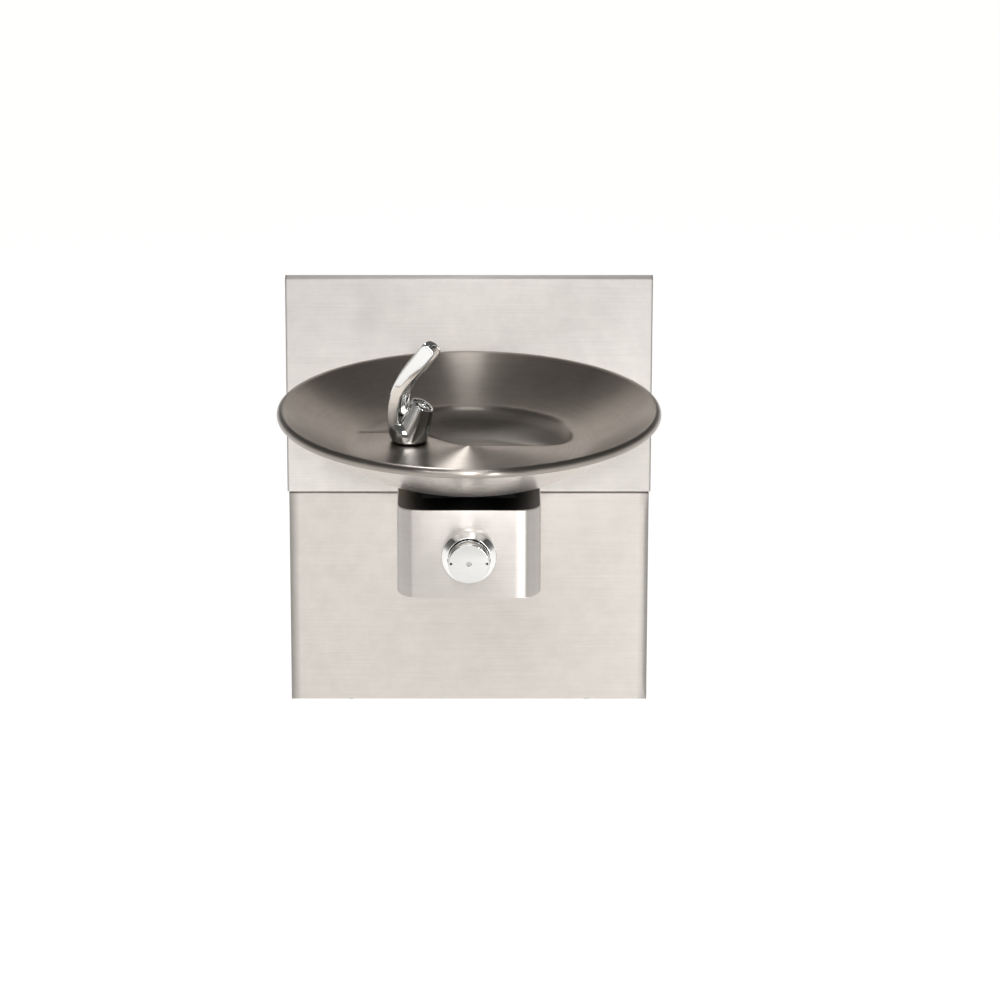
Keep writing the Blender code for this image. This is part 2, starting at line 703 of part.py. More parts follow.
def drain_seal_and_nut():
    under = FLOOR_HEIGHT - BOWL_SHEET - GAP
    gasket = 0.0015
    collar("drain_gasket", 0.0172, 0.0205, gasket, "black_rubber", (0, 0, -1), (*DRAIN, under))
    collar("drain_lock_nut", 0.0172, 0.0240, 0.0065, "plain_brass", (0, 0, -1),
           (*DRAIN, under - gasket - GAP), shape=HEXAGON)


def waste_pipes():
    start = Vector((*DRAIN, SLEEVE_END - GAP))
    x = DRAIN.x
    route = rounded_route(
        [start, (x, DRAIN.y, WASTE_RUN_HEIGHT), (x, DOWN_PIPE_Y, WASTE_RUN_HEIGHT - 0.003),
         (x, DOWN_PIPE_Y, TRAP_INLET_Z + GAP / 2)], 0.025)
    pipe("waste_pipe", route, PIPE_RADIUS, "polished_chrome", PIPE_WALL, 3)
    far_x = x + TRAP_WIDTH
    bend = TRAP_WIDTH / 2 - 0.0005
    route = rounded_route(
        [(x, DOWN_PIPE_Y, TRAP_INLET_Z - GAP / 2), (x, DOWN_PIPE_Y, TRAP_BOTTOM_Z),
         (far_x, DOWN_PIPE_Y, TRAP_BOTTOM_Z), (far_x, DOWN_PIPE_Y, TRAP_OUTLET_Z - GAP / 2)],
        bend, steps=6)
    pipe("trap_bend", route, PIPE_RADIUS, "polished_chrome", PIPE_WALL, 3)
    route = rounded_route(
        [(far_x, DOWN_PIPE_Y, TRAP_OUTLET_Z + GAP / 2), (far_x, DOWN_PIPE_Y, WASTE_OUTLET_Z),
         (far_x, WASTE_OUTLET_Y, WASTE_OUTLET_Z)], 0.025)
    pipe("trap_outlet_arm", route, PIPE_RADIUS, "polished_chrome", PIPE_WALL, 3)


def slip_nuts():
    inner, outer, length = 0.0172, 0.0232, 0.017
    places = {
        "tail_slip_nut": (*DRAIN, SLEEVE_END - 0.005),
        "trap_inlet_nut": (DRAIN.x, DOWN_PIPE_Y, TRAP_INLET_Z - length / 2),
        "trap_outlet_nut": (DRAIN.x + TRAP_WIDTH, DOWN_PIPE_Y, TRAP_OUTLET_Z - length / 2),
    }
    for name, location in places.items():
        collar(name, inner, outer, length, "polished_chrome", (0, 0, 1), location, shape=HEXAGON)


# ---- bubbler -----------------------------------------------------------------------------------

BUBBLER_GASKET = 0.0010
BUBBLER_BASE_HEIGHT = DECK_HEIGHT + BUBBLER_GASKET + 2 * GAP
SHANK_RADIUS = 0.0065
SHANK_END = 0.069
NOZZLE_TILT = math.radians(28.0)
NOZZLE_CENTRE = Vector((0.0169, 0.0, 0.0450))
NOZZLE_RADIUS = 0.0140
BUBBLER_YAW = math.radians(-14.0)  # the stream is aimed a little towards the user
GUARD_YAW = math.radians(-30.0)    # the guard stands further round, beside the stream
GUARD_CURVE = [Vector(p) for p in ((-0.0118, 0.004), (-0.0270, 0.0660), (0.0030, 0.0800),
                                   (0.0335, 0.1240))]


def guard_centre(t):
    """Point and direction on the guard's cubic centre line, in the plane y = 0."""
    p0, p1, p2, p3 = GUARD_CURVE
    s = 1 - t
    point = p0 * s ** 3 + p1 * (3 * s * s * t) + p2 * (3 * s * t * t) + p3 * t ** 3
    slope = (p1 - p0) * (3 * s * s) + (p2 - p1) * (6 * s * t) + (p3 - p2) * (3 * t * t)
    return point, slope.normalized()


def guard_half_sizes(t):
    """Half thickness and half width of the guard along its length; it rounds off at the tip."""
    past = max(0.0, t - 0.90) / 0.10
    closing = (1 - past ** 4) ** 0.25
    thickness = 0.0082 + 0.0022 * ease((t - 0.4) / 0.4)
    width = 0.0165 - 0.0075 * ease(t / 0.95)
    return thickness * max(closing, 0.30), width * (0.75 + 0.25 * closing)


# Half of the guard's crescent section: (towards the outlet, sideways), as shares of its sizes.
GUARD_SECTION = [(-1.0, 0.40), (-0.80, 0.88), (-0.45, 1.0), (0.95, 0.97), (0.90, 0.76),
                 (0.15, 0.42)]
GUARD_STATIONS = [0.0, 0.12, 0.24, 0.36, 0.48, 0.60, 0.72, 0.83, 0.92, 0.965, 0.985, 1.0]


def guard_solid():
    """Curved blade that shields the outlet, lofted through crescent sections."""
    bm = bmesh.new()
    outline = GUARD_SECTION + [(off, -side) for off, side in reversed(GUARD_SECTION)]
    rows = []
    for t in GUARD_STATIONS:
        point, forward = guard_centre(t)
        half_thickness, half_width = guard_half_sizes(t)
        across = Vector((forward.y, -forward.x))
        row = []
        for off, side in outline:
            place = point + across * (off * half_thickness)
            row.append(bm.verts.new((place.x, side * half_width, place.y)))
        rows.append(row)
    for lower, upper in zip(rows, rows[1:]):
        join_rows(bm, lower, upper)
    bm.faces.new(rows[0])
    bm.faces.new(rows[-1])
    return add_mesh("guard_blade", bm, None)


def nozzle_boss():
    """Leaning taper from the round base up to the tilted outlet ring."""
    bm = bmesh.new()
    rows = []
    for share in (0.0, 0.08, 0.55, 1.0):
        tilt = NOZZLE_TILT * share
        radius = 0.0224 + 0.0006 * min(1.0, share / 0.08)
        radius += (NOZZLE_RADIUS - radius) * share
        centre = NOZZLE_CENTRE * share
        row = []
        for step in range(20):
            angle = 2 * math.pi * step / 20
            x, y = radius * math.cos(angle), radius * math.sin(angle)
            row.append(bm.verts.new((centre.x + x * math.cos(tilt), y,
                                     centre.z - x * math.sin(tilt))))
        rows.append(row)
    for lower, upper in zip(rows, rows[1:]):
        join_rows(bm, lower, upper)
    bm.faces.new(rows[0])
    bm.faces.new(rows[-1])
    return add_mesh("bubbler_body", bm, "polished_chrome")


def base_flare():
    """Left side of the body, which widens upwards and carries the guard."""
    bm = bmesh.new()
    rows = []
    for height, shift, radius in ((0.0006, -0.0008, 0.0223), (0.008, -0.0024, 0.0222),
                                  (0.014, -0.0036, 0.0208), (0.020, -0.0052, 0.0166),
                                  (0.024, -0.0060, 0.0100)):
        row = []
        for step in range(20):
            angle = 2 * math.pi * (step + 0.5) / 20
            row.append(bm.verts.new((shift + radius * math.cos(angle), radius * math.sin(angle),
                                     height)))
        rows.append(row)
    for lower, upper in zip(rows, rows[1:]):
        join_rows(bm, lower, upper)
    bm.faces.new(rows[0])
    bm.faces.new(rows[-1])
    return add_mesh("bubbler_flare", bm, None)


def nozzle_mouth():
    """Centre and direction of the tilted outlet ring."""
    yaw = Matrix.Rotation(BUBBLER_YAW, 3, "Z")
    axis = yaw @ Vector((math.sin(NOZZLE_TILT), 0.0, math.cos(NOZZLE_TILT)))
    return Vector((*BUBBLER, BUBBLER_BASE_HEIGHT)) + yaw @ NOZZLE_CENTRE, axis


def bubbler_body():
    body = nozzle_boss()
    place = (*BUBBLER, BUBBLER_BASE_HEIGHT)
    flare = base_flare()
    blade = guard_solid()
    for piece, yaw in ((body, BUBBLER_YAW), (flare, BUBBLER_YAW), (blade, GUARD_YAW)):
        piece.location = place
        piece.rotation_euler.z = yaw
    combine(body, flare, "UNION")
    combine(body, blade, "UNION")
    mouth, axis = nozzle_mouth()
    bm = bmesh.new()
    cylinder_into(bm, mouth - axis * 0.008, mouth + axis * 0.004, 0.0116, sides=16)
    socket = add_mesh("nozzle_socket", bm, None)
    combine(body, socket, "DIFFERENCE")
    bm = bmesh.new()
    base = Vector(place)
    cylinder_into(bm, base - Vector((0, 0, 0.01)), base + Vector((0, 0, 0.012)), 0.0070)
    shank_socket = add_mesh("shank_socket", bm, None)
    combine(body, shank_socket, "DIFFERENCE")
    return smooth(body, 50.0)


def bubbler_fittings():
    mouth, axis = nozzle_mouth()
    profile = [(0.0, -0.0072), (0.0108, -0.0072), (0.0108, -0.0020), (0.0070, -0.0008),
               (0.0040, -0.0008), (0.0030, -0.0040), (0.0, -0.0040)]
    nozzle = turned("bubbler_nozzle", profile, "polished_chrome", sides=16)
    point_along(nozzle, axis, mouth)
    collar("bubbler_gasket", 0.0072, 0.0190, BUBBLER_GASKET, "black_rubber", (0, 0, 1),
           (*BUBBLER, DECK_HEIGHT + GAP))
    shank_top = BUBBLER_BASE_HEIGHT + 0.011
    collar("bubbler_shank", 0.0040, SHANK_RADIUS, shank_top - SHANK_END, "plain_brass",
           (0, 0, 1), (*BUBBLER, SHANK_END), sides=16)
    spacer_low = SHELL_BOTTOM + SHELL_SHEET + GAP
    spacer_high = DECK_HEIGHT - BOWL_SHEET - GAP
    collar("bubbler_spacer", 0.0072, 0.0095, spacer_high - spacer_low, "plain_brass",
           (0, 0, 1), (*BUBBLER, spacer_low), sides=16)
    nut_length = 0.0085
    collar("bubbler_lock_nut", 0.0072, 0.0122, nut_length, "plain_brass", (0, 0, 1),
           (*BUBBLER, SHELL_BOTTOM - GAP - nut_length), shape=HEXAGON, sides=12)


# ---- push button and valve ---------------------------------------------------------------------

NOSE_RADIUS = 0.0110
FRONT = (0, -1, 0)


def button_place(height=0.0):
    """Point on the button's axis, a height in front of the arm's face."""
    return (0.0, ARM_FRONT - height, BUTTON_HEIGHT)


def button_escutcheon():
    """Round ring with a wide bevel that stands round the button's rear half."""
    profile = [(NOSE_HOLE_RADIUS, GAP), (ESCUTCHEON_RADIUS, GAP), (ESCUTCHEON_RADIUS, 0.0140),
               (0.0318, 0.0168), (0.0272, 0.0214), (0.0264, 0.0220), (0.0256, 0.0220),
               (0.0256, 0.0045), (NOSE_HOLE_RADIUS, 0.0045)]
    piece = turned("button_escutcheon", profile, "polished_chrome", sides=32, ring=True)
    point_along(piece, FRONT, button_place())


def push_button():
    """Cup open to the rear, with a hole for the flow screw and two spanner holes."""
    back = 0.0125
    profile = [(0.0, 0.0335), (0.0222, 0.0335), (0.0222, back), (BUTTON_RADIUS, back),
               (BUTTON_RADIUS, BUTTON_FACE - 0.0020), (BUTTON_RADIUS - 0.0005, BUTTON_FACE - 0.0006),
               (BUTTON_RADIUS - 0.0020, BUTTON_FACE), (0.0, BUTTON_FACE)]
    button = turned("push_button", profile, "polished_chrome", sides=32)
    point_along(button, FRONT, button_place())
    holes = [(button_place(0.030), button_place(0.045), 0.0031)]
    for x in (-0.0212, 0.0212):
        start = Vector(button_place(0.0365)) + Vector((x, 0, 0))
        holes.append((start, start + Vector((0, -0.01, 0)), 0.0016))
    return cut(button, holes)


def button_internals():
    """Lock nut, return spring, stem and flow screw, all on the button's axis."""
    collar("escutcheon_lock_nut", NOSE_HOLE_RADIUS, 0.0160, 0.0040, "plain_brass", FRONT,
           button_place(0.0045 + GAP), shape=HEXAGON)
    profile = [(0.0, -0.020), (0.0044, -0.020), (0.0044, 0.0280), (0.0090, 0.0280),
               (0.0090, 0.0332), (0.0, 0.0332)]
    stem = turned("valve_stem", profile, "plain_brass", sides=16)
    point_along(stem, FRONT, button_place())
    profile = [(0.0, 0.0335), (0.0027, 0.0335), (0.0027, 0.0370), (0.0013, 0.0370),
               (0.0013, 0.0355), (0.0, 0.0355)]
    screw = turned("flow_screw", profile, "zinc_steel", sides=12,
                   shapes={3: HEXAGON, 4: HEXAGON})
    point_along(screw, FRONT, button_place())
    return_spring(0.0188, 0.0009, 0.0060, 0.0262)


def return_spring(mean_radius, wire_radius, start, end):
    """Open-wound coil behind the button, at the length it has when the button is pressed."""
    coils, steps = 4, 11
    travel = end - start
    route = []
    for step in range(coils * steps + 1):
        angle = 2 * math.pi * step / steps
        height = start + travel * step / (coils * steps)
        x, up = mean_radius * math.cos(angle), mean_radius * math.sin(angle)
        route.append((x, ARM_FRONT - height, BUTTON_HEIGHT + up))
    pipe("return_spring", route, wire_radius, "spring_steel", resolution=1)


VALVE_INLET_Y = ARM_FRONT + 0.060
VALVE_SIDE_Y = ARM_FRONT + 0.034


def valve_body():
    """Push-button valve behind the arm's face: threaded nose, body, rear inlet, side outlet."""
    inside = -ARM_SHEET - GAP
    profile = [(0.0, -0.0600), (0.0075, -0.0600), (0.0075, -0.0500), (0.0140, -0.0490),
               (0.0140, -0.0060), (0.0165, -0.0060), (0.0165, inside), (NOSE_RADIUS, inside),
               (NOSE_RADIUS, 0.0120), (0.0050, 0.0120), (0.0050, -0.0300), (0.0, -0.0300)]
    body = turned("valve_body", profile, "plain_brass")
    point_along(body, FRONT, button_place())
    bm = bmesh.new()
    cylinder_into(bm, (-0.024, VALVE_SIDE_Y, BUTTON_HEIGHT), (-0.0055, VALVE_SIDE_Y, BUTTON_HEIGHT),
                  0.0068)
    outlet = add_mesh("valve_outlet", bm, None)
    return combine(body, outlet, "UNION")


def supply_tubes():
    """Bubbler tube from the valve's side outlet, and inlet tube from the stop valve."""
    side = Vector((-0.0243, VALVE_SIDE_Y, BUTTON_HEIGHT))
    run = -0.305
    route = rounded_route(
        [(*BUBBLER, SHANK_END - GAP), (*BUBBLER, BUTTON_HEIGHT), (BUBBLER.x, run, BUTTON_HEIGHT),
         (BUBBLER.x + 0.022, side.y, side.z), side], 0.014, steps=4)
    pipe("bubbler_tube", route, TUBE_RADIUS, "copper_tube")
    side_x = -0.040
    stop_top = STOP_VALVE + Vector((0, 0, 0.0185))
    route = rounded_route(
        [(0.0, VALVE_INLET_Y + GAP, BUTTON_HEIGHT), (0.0, -0.270, BUTTON_HEIGHT),
         (side_x, -0.215, 0.062), (side_x, STOP_VALVE.y, 0.062),
         (STOP_VALVE.x, STOP_VALVE.y, 0.000), stop_top], 0.018, steps=4)
    pipe("inlet_tube", route, TUBE_RADIUS, "copper_tube")


def tube_nuts():
    small, large = 0.0053, 0.0100
    nuts = [
        ("bubbler_tube_nut", 0.0072, (0, 0, 1), (*BUBBLER, SHANK_END - 0.010), 0.014),
        ("valve_outlet_nut", small, (-1, 0, 0), (-0.0243, VALVE_SIDE_Y, BUTTON_HEIGHT), 0.010),
        ("valve_inlet_nut", small, (0, 1, 0), (0, VALVE_INLET_Y + GAP, BUTTON_HEIGHT), 0.011),
        ("stop_outlet_nut", small, (0, 0, 1), STOP_VALVE + Vector((0, 0, 0.0183)), 0.012),
    ]
    for name, inner, direction, location, length in nuts:
        outer = large if inner == small else 0.0104
        collar(name, inner, outer, length, "plain_brass", direction, location, shape=HEXAGON,
               sides=12)


# ---- stop valve --------------------------------------------------------------------------------


def stop_valve():
    body = turned("stop_valve_body", [(0.0, -0.018), (0.0095, -0.018), (0.0110, -0.016),
                                      (0.0110, 0.014), (0.0085, 0.018), (0.0, 0.018)],
                  "polished_chrome", sides=20)
    body.location = STOP_VALVE
    bm = bmesh.new()
    cylinder_into(bm, STOP_VALVE + Vector((0, -0.018, 0)), STOP_VALVE + Vector((0, 0.036, 0)),
                  0.0088, sides=16)
    branch = add_mesh("stop_valve_branch", bm, None)
    combine(body, branch, "UNION")
    collar("stop_inlet_nut", 0.0094, 0.0135, 0.013, "polished_chrome", (0, 1, 0),
           STOP_VALVE + Vector((0, 0.024, 0)), shape=HEXAGON)
    profile = [(0.0, 0.0), (0.0038, 0.0), (0.0038, 0.0060), (0.0160, 0.0064), (0.0172, 0.0090),
               (0.0160, 0.0116), (0.0, 0.0120)]
    handle = turned("stop_valve_handle", profile, "polished_chrome", sides=20,
                    shapes={3: OVAL, 4: OVAL, 5: OVAL})
    point_along(handle, FRONT, STOP_VALVE + Vector((0, -0.018 - GAP, 0)))


def build():
    clear_scene()
    wall_plate()
    wall_bolts()
    upper_back_panel()
    lower_access_panel()
    panel_bracket()
    panel_screws()
    arm_shell()
    arm_bolts()
    arm_bottom_cover()
    cover_screws()
    bowl_basin()
    bowl_shell()
    bowl_saddle()
    saddle_bolts()
    drain_fitting()
    waste_strainer()
    drain_seal_and_nut()
    waste_pipes()
    slip_nuts()
    bubbler_body()
    bubbler_fittings()
    button_escutcheon()
    push_button()
    button_internals()
    valve_body()
    supply_tubes()
    tube_nuts()
    stop_valve()


build()
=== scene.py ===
"""Looks of the wall-hung drinking fountain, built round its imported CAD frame.

Row frame: the wall is the plane y = 0, the room is towards -Y, +Z is up. Lengths are metres.
"""

import json
import math

import bmesh
import bpy
from mathutils import Matrix, Vector


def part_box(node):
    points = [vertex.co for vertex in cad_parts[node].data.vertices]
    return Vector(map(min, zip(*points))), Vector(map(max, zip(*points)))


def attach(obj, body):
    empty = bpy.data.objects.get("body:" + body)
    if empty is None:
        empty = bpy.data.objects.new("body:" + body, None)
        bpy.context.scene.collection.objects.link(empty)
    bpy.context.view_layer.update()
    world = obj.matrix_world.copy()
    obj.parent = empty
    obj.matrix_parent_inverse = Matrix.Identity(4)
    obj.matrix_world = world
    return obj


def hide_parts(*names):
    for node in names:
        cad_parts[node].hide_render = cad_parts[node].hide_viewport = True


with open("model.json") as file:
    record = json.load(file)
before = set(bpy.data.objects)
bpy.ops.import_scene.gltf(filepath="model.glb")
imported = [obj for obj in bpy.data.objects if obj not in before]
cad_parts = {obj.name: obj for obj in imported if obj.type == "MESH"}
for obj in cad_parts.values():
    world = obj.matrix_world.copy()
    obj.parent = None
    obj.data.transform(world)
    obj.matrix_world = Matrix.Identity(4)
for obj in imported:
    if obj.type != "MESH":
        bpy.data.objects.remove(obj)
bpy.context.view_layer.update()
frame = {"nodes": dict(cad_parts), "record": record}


def limits(node):
    """Lowest and highest corner of a CAD node."""
    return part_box(node)


def middle(node):
    """Centre of a CAD node's box."""
    low, high = limits(node)
    return (low + high) / 2


# ---- sizes read from the CAD --------------------------------------------------------------------

GAP = 0.0003  # clearance between neighbouring pieces
BASIN_LOW, BASIN_HIGH = limits("bowl_basin")
RIM_HEIGHT = BASIN_HIGH.z
BOWL_CENTRE = Vector(((BASIN_LOW.x + BASIN_HIGH.x) / 2, (BASIN_LOW.y + BASIN_HIGH.y) / 2,
                      RIM_HEIGHT))
OUTER_RADIUS = (BASIN_HIGH.x - BASIN_LOW.x) / 2
GASKET_LOW, GASKET_HIGH = limits("bubbler_gasket")
BUBBLER_FOOT = Vector(((GASKET_LOW.x + GASKET_HIGH.x) / 2, (GASKET_LOW.y + GASKET_HIGH.y) / 2,
                       GASKET_HIGH.z + GAP))
STRAINER_LOW, STRAINER_HIGH = limits("waste_strainer")
DRAIN = (STRAINER_LOW + STRAINER_HIGH) / 2
ARM_LOW, ARM_HIGH = limits("arm_shell")
BUTTON_LOW, BUTTON_HIGH = limits("push_button")
BUTTON_AXIS = Vector((0.0, ARM_LOW.y, (BUTTON_LOW.z + BUTTON_HIGH.z) / 2))
UPPER_LOW, UPPER_HIGH = limits("upper_back_panel")
LOWER_LOW, LOWER_HIGH = limits("lower_access_panel")

# Bowl: a rolled rim, a curved wall, a flat deck at DECK_DEPTH and a basin sunk into it.
ROLL_RADIUS = 0.0060
ROLL_CENTRE_RADIUS = OUTER_RADIUS - ROLL_RADIUS
ROLL_INNER_ANGLE = math.radians(38.0)
ROLL_JOINT_ANGLE = math.radians(135.0)
BOWL_SHEET = 0.0015
SHELL_SHEET = 0.0012
WALL_FOOT_RADIUS = 0.146
WALL_FOOT_DEPTH = 0.046
DECK_DEPTH = RIM_HEIGHT - GASKET_LOW.z + GAP
FLOOR_DEPTH = 0.071
FLOOR_FALL = 0.07
DRAIN_SEAT = 0.0225
DRAIN_HOLE_RADIUS = 0.0172
SHANK_HOLE_RADIUS = 0.0072
SHELL_SLOPE = math.radians(30.0)
SHELL_BOTTOM_DEPTH = RIM_HEIGHT - limits("bowl_shell")[0].z

NOSE_HOLE_RADIUS = 0.0116


# ---- mesh helpers -------------------------------------------------------------------------------

UP = Vector((0.0, 0.0, 1.0))
FRONT = Vector((0.0, -1.0, 0.0))


def mesh_object(name, bm):
    """Put a bmesh into the scene as an object."""
    mesh = bpy.data.meshes.new(name)
    bm.to_mesh(mesh)
    bm.free()
    made = bpy.data.objects.new(name, mesh)
    bpy.context.scene.collection.objects.link(made)
    return made


def solid_object(name, bm):
    """Object made from a closed bmesh, with its faces turned outwards."""
    bmesh.ops.recalc_face_normals(bm, faces=bm.faces)
    return mesh_object(name, bm)


def add_piece(name, bm, material, body, nodes, smooth_angle=30.0):
    """Finish a bmesh as a named piece that rides on a body and stands for CAD nodes."""
    piece = solid_object(name, bm)
    piece.data.materials.append(material)
    piece.data.shade_smooth()
    piece.data.set_sharp_from_angle(angle=math.radians(smooth_angle))
    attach(piece, body)
    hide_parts(*nodes)


def join_rows(bm, lower, upper):
    """Faces between two closed rows of vertices; a row of one vertex makes a fan."""
    sides = max(len(lower), len(upper))
    for step in range(sides):
        after = (step + 1) % sides
        if len(lower) == 1:
            bm.faces.new((lower[0], upper[after], upper[step]))
        elif len(upper) == 1:
            bm.faces.new((lower[step], lower[after], upper[0]))
        else:
            bm.faces.new((lower[step], lower[after], upper[after], upper[step]))


def lofted(bm, rows):
    """Join rows of vertices and close both ends."""
    for lower, upper in zip(rows, rows[1:]):
        join_rows(bm, lower, upper)
    bm.faces.new(rows[0])
    bm.faces.new(rows[-1])
    return bm


def rounded_profile(points, steps=4):
    """Round the marked corners of a (radius, height, rounding) outline with arcs."""
    result = []
    count = len(points)
    for index, (radius, height, rounding) in enumerate(points):
        corner = Vector((radius, height))
        if rounding == 0:
            result.append(corner)
            continue
        before = Vector(points[index - 1][:2])
        after = Vector(points[(index + 1) % count][:2])
        arriving = (corner - before).normalized()
        leaving = (after - corner).normalized()
        turn = arriving.angle(leaving)
        back = rounding * math.tan(turn / 2)
        start = corner - arriving * back
        inward = (leaving - arriving * arriving.dot(leaving)).normalized()
        for step in range(steps + 1):
            angle = turn * step / steps
            result.append(start + arriving * (rounding * math.sin(angle))
                          + inward * (rounding * (1 - math.cos(angle))))
    return result


def turned(profile, sides=96, ring=False, matrix=None):
    """bmesh of a solid of revolution about local +Z through (radius, height) points."""
    bm = bmesh.new()
    rows = []
    for radius, height in profile:
        if radius < 1e-9:
            rows.append([bm.verts.new((0.0, 0.0, height))])
            continue
        rows.append([bm.verts.new((radius * math.cos(2 * math.pi * step / sides),
                                   radius * math.sin(2 * math.pi * step / sides), height))
                     for step in range(sides)])
    pairs = list(zip(rows, rows[1:]))
    if ring:
        pairs.append((rows[-1], rows[0]))
    for lower, upper in pairs:
        join_rows(bm, lower, upper)
    if not ring:
        for row in (rows[0], rows[-1]):
            if len(row) > 1:
                bm.faces.new(row)
    if matrix:
        bm.transform(matrix)
    return bm


def place_along(direction, location):
    """Matrix that stands local +Z along a direction, with its origin at a location."""
    turn = UP.rotation_difference(Vector(direction))
    return Matrix.Translation(location) @ turn.to_matrix().to_4x4()


def cylinder_into(bm, start, end, radius, sides=32):
    """Add a closed cylinder between two points."""
    start, end = Vector(start), Vector(end)
    bmesh.ops.create_cone(
        bm, cap_ends=True, segments=sides, radius1=radius, radius2=radius,
        depth=(end - start).length, matrix=place_along(end - start, (start + end) / 2),
    )


def drill_into(bm, centre, along, reach, radius, sides=32):
    """Add a drill that reaches as far to both sides of a point, along an axis."""
    reach = Vector(along) * reach
    cylinder_into(bm, Vector(centre) - reach, Vector(centre) + reach, radius, sides)


def box_into(bm, low, high, turn=Matrix.Identity(4)):
    """Add a box between two corners, turned afterwards."""
    low, high = Vector(low), Vector(high)
    matrix = turn @ Matrix.Translation((low + high) / 2) @ Matrix.Diagonal((*(high - low), 1.0))
    bmesh.ops.create_cube(bm, size=1.0, matrix=matrix)


def baked(bm, tool_bm, operation):
    """bmesh of one solid cut by, or joined to, another."""
    target = solid_object("target", bm)
    tool = solid_object("tool", tool_bm)
    modifier = target.modifiers.new("combine", "BOOLEAN")
    modifier.operation = operation
    modifier.solver = "EXACT"
    modifier.object = tool
    result = evaluated_bmesh(target)
    for used in (target, tool):
        bpy.data.objects.remove(used, do_unlink=True)
    return result


def evaluated_bmesh(source):
    """bmesh of an object with its modifiers applied."""
    depsgraph = bpy.context.evaluated_depsgraph_get()
    mesh = source.evaluated_get(depsgraph).to_mesh()
    bm = bmesh.new()
    bm.from_mesh(mesh)
    return bm


# ---- materials ----------------------------------------------------------------------------------


class Shader:
    """Small helper that adds and links nodes of one material."""

    def __init__(self, name):
        self.material = bpy.data.materials.new(name)
        self.material.use_nodes = True
        self.tree = self.material.node_tree
        self.surface = self.tree.nodes["Principled BSDF"]

    def node(self, kind, inputs=None, **settings):
        """Add a node; inputs maps its sockets to sources or to plain values."""
        made = self.tree.nodes.new(kind)
        for key, value in settings.items():
            setattr(made, key, value)
        for key, value in (inputs or {}).items():
            self.connect(value, made.inputs[key])
        return made

    def connect(self, value, socket):
        """Link a source to a socket, or give the socket a plain value."""
        if isinstance(value, bpy.types.NodeSocket):
            self.tree.links.new(value, socket)
        else:
            socket.default_value = value

    def maths(self, operation, *values):
        """Result of one arithmetic step on sources or plain numbers."""
        made = self.tree.nodes.new("ShaderNodeMath")
        made.operation = operation
        for value, socket in zip(values, made.inputs):
            self.connect(value, socket)
        return made.outputs[0]

    def scaled(self, vector, scale):
        """Vector multiplied axis by axis."""
        made = self.node("ShaderNodeVectorMath", operation="MULTIPLY")
        self.connect(vector, made.inputs[0])
        made.inputs[1].default_value = scale
        return made.outputs[0]

    def noise(self, vector, detail=3.0, roughness=0.55):
        """Grey noise, mostly between 0.3 and 0.7."""
        made = self.node("ShaderNodeTexNoise", {"Vector": vector})
        made.inputs["Scale"].default_value = 1.0
        made.inputs["Detail"].default_value = detail
        made.inputs["Roughness"].default_value = roughness
        return made.outputs["Fac"]

    def spread(self, value, low, high, from_low=0.3, from_high=0.7):
        """Map a value to low..high; the default range is where most of a noise's values lie."""
        made = self.node("ShaderNodeMapRange", {"Value": value})
        made.inputs["From Min"].default_value = from_low
        made.inputs["From Max"].default_value = from_high
        made.inputs["To Min"].default_value = low
        made.inputs["To Max"].default_value = high
        return made.outputs["Result"]

    def blend(self, share, plain, value):
        """A plain number where share is 0, passing over to a value where it is 1."""
        made = self.node("ShaderNodeMix", {0: share, 3: value})
        made.inputs[2].default_value = plain
        return made.outputs[0]

    def coordinates(self):
        """Place on the object, in metres."""
        return self.node("ShaderNodeTexCoord").outputs["Object"]

    def part_of(self, vector, axis):
        """One component of a vector."""
        return self.node("ShaderNodeSeparateXYZ", {0: vector}).outputs[axis]

    def brushed_along_z(self, anisotropy):
        """Stretch highlights up and down on walls, and outwards from the middle on floors.

        The middle is that of the piece's own box.
        """
        self.connect(anisotropy, self.surface.inputs["Anisotropic"])
        self.surface.inputs["Anisotropic Rotation"].default_value = 0.25
        tangent = self.node("ShaderNodeTangent", direction_type="RADIAL", axis="Z")
        self.connect(tangent.outputs[0], self.surface.inputs["Tangent"])

    def tinted(self, colour, *factors):
        """A colour multiplied by grey factors."""
        value = factors[0]
        for factor in factors[1:]:
            value = self.maths("MULTIPLY", value, factor)
        made = self.node("ShaderNodeVectorMath", operation="SCALE")
        made.inputs[0].default_value = colour
        self.connect(value, made.inputs["Scale"])
        return made.outputs[0]

    def bump(self, height, strength, distance):
        """Give the surface a fine relief from a grey source."""
        made = self.node("ShaderNodeBump", {"Height": height})
        made.inputs["Strength"].default_value = strength
        made.inputs["Distance"].default_value = distance
        self.connect(made.outputs["Normal"], self.surface.inputs["Normal"])

    def finish(self, colour, shades, roughness):
        """Connect a colour times its grey factors, and a roughness."""
        self.connect(self.tinted(colour, *shades), self.surface.inputs["Base Color"])
        self.connect(roughness, self.surface.inputs["Roughness"])
        return self.material


def painted_edge_shade(shader, place, half_width, edge_shade):
    """Grey factor of painted shade that falls darker towards the two bent sides of a panel."""
    tone, near, far = edge_shade
    from_middle = shader.maths("ABSOLUTE", shader.part_of(place, "X"))
    from_side = shader.maths("SUBTRACT", half_width, from_middle)
    return shader.spread(from_side, tone, 1.0, near, far)


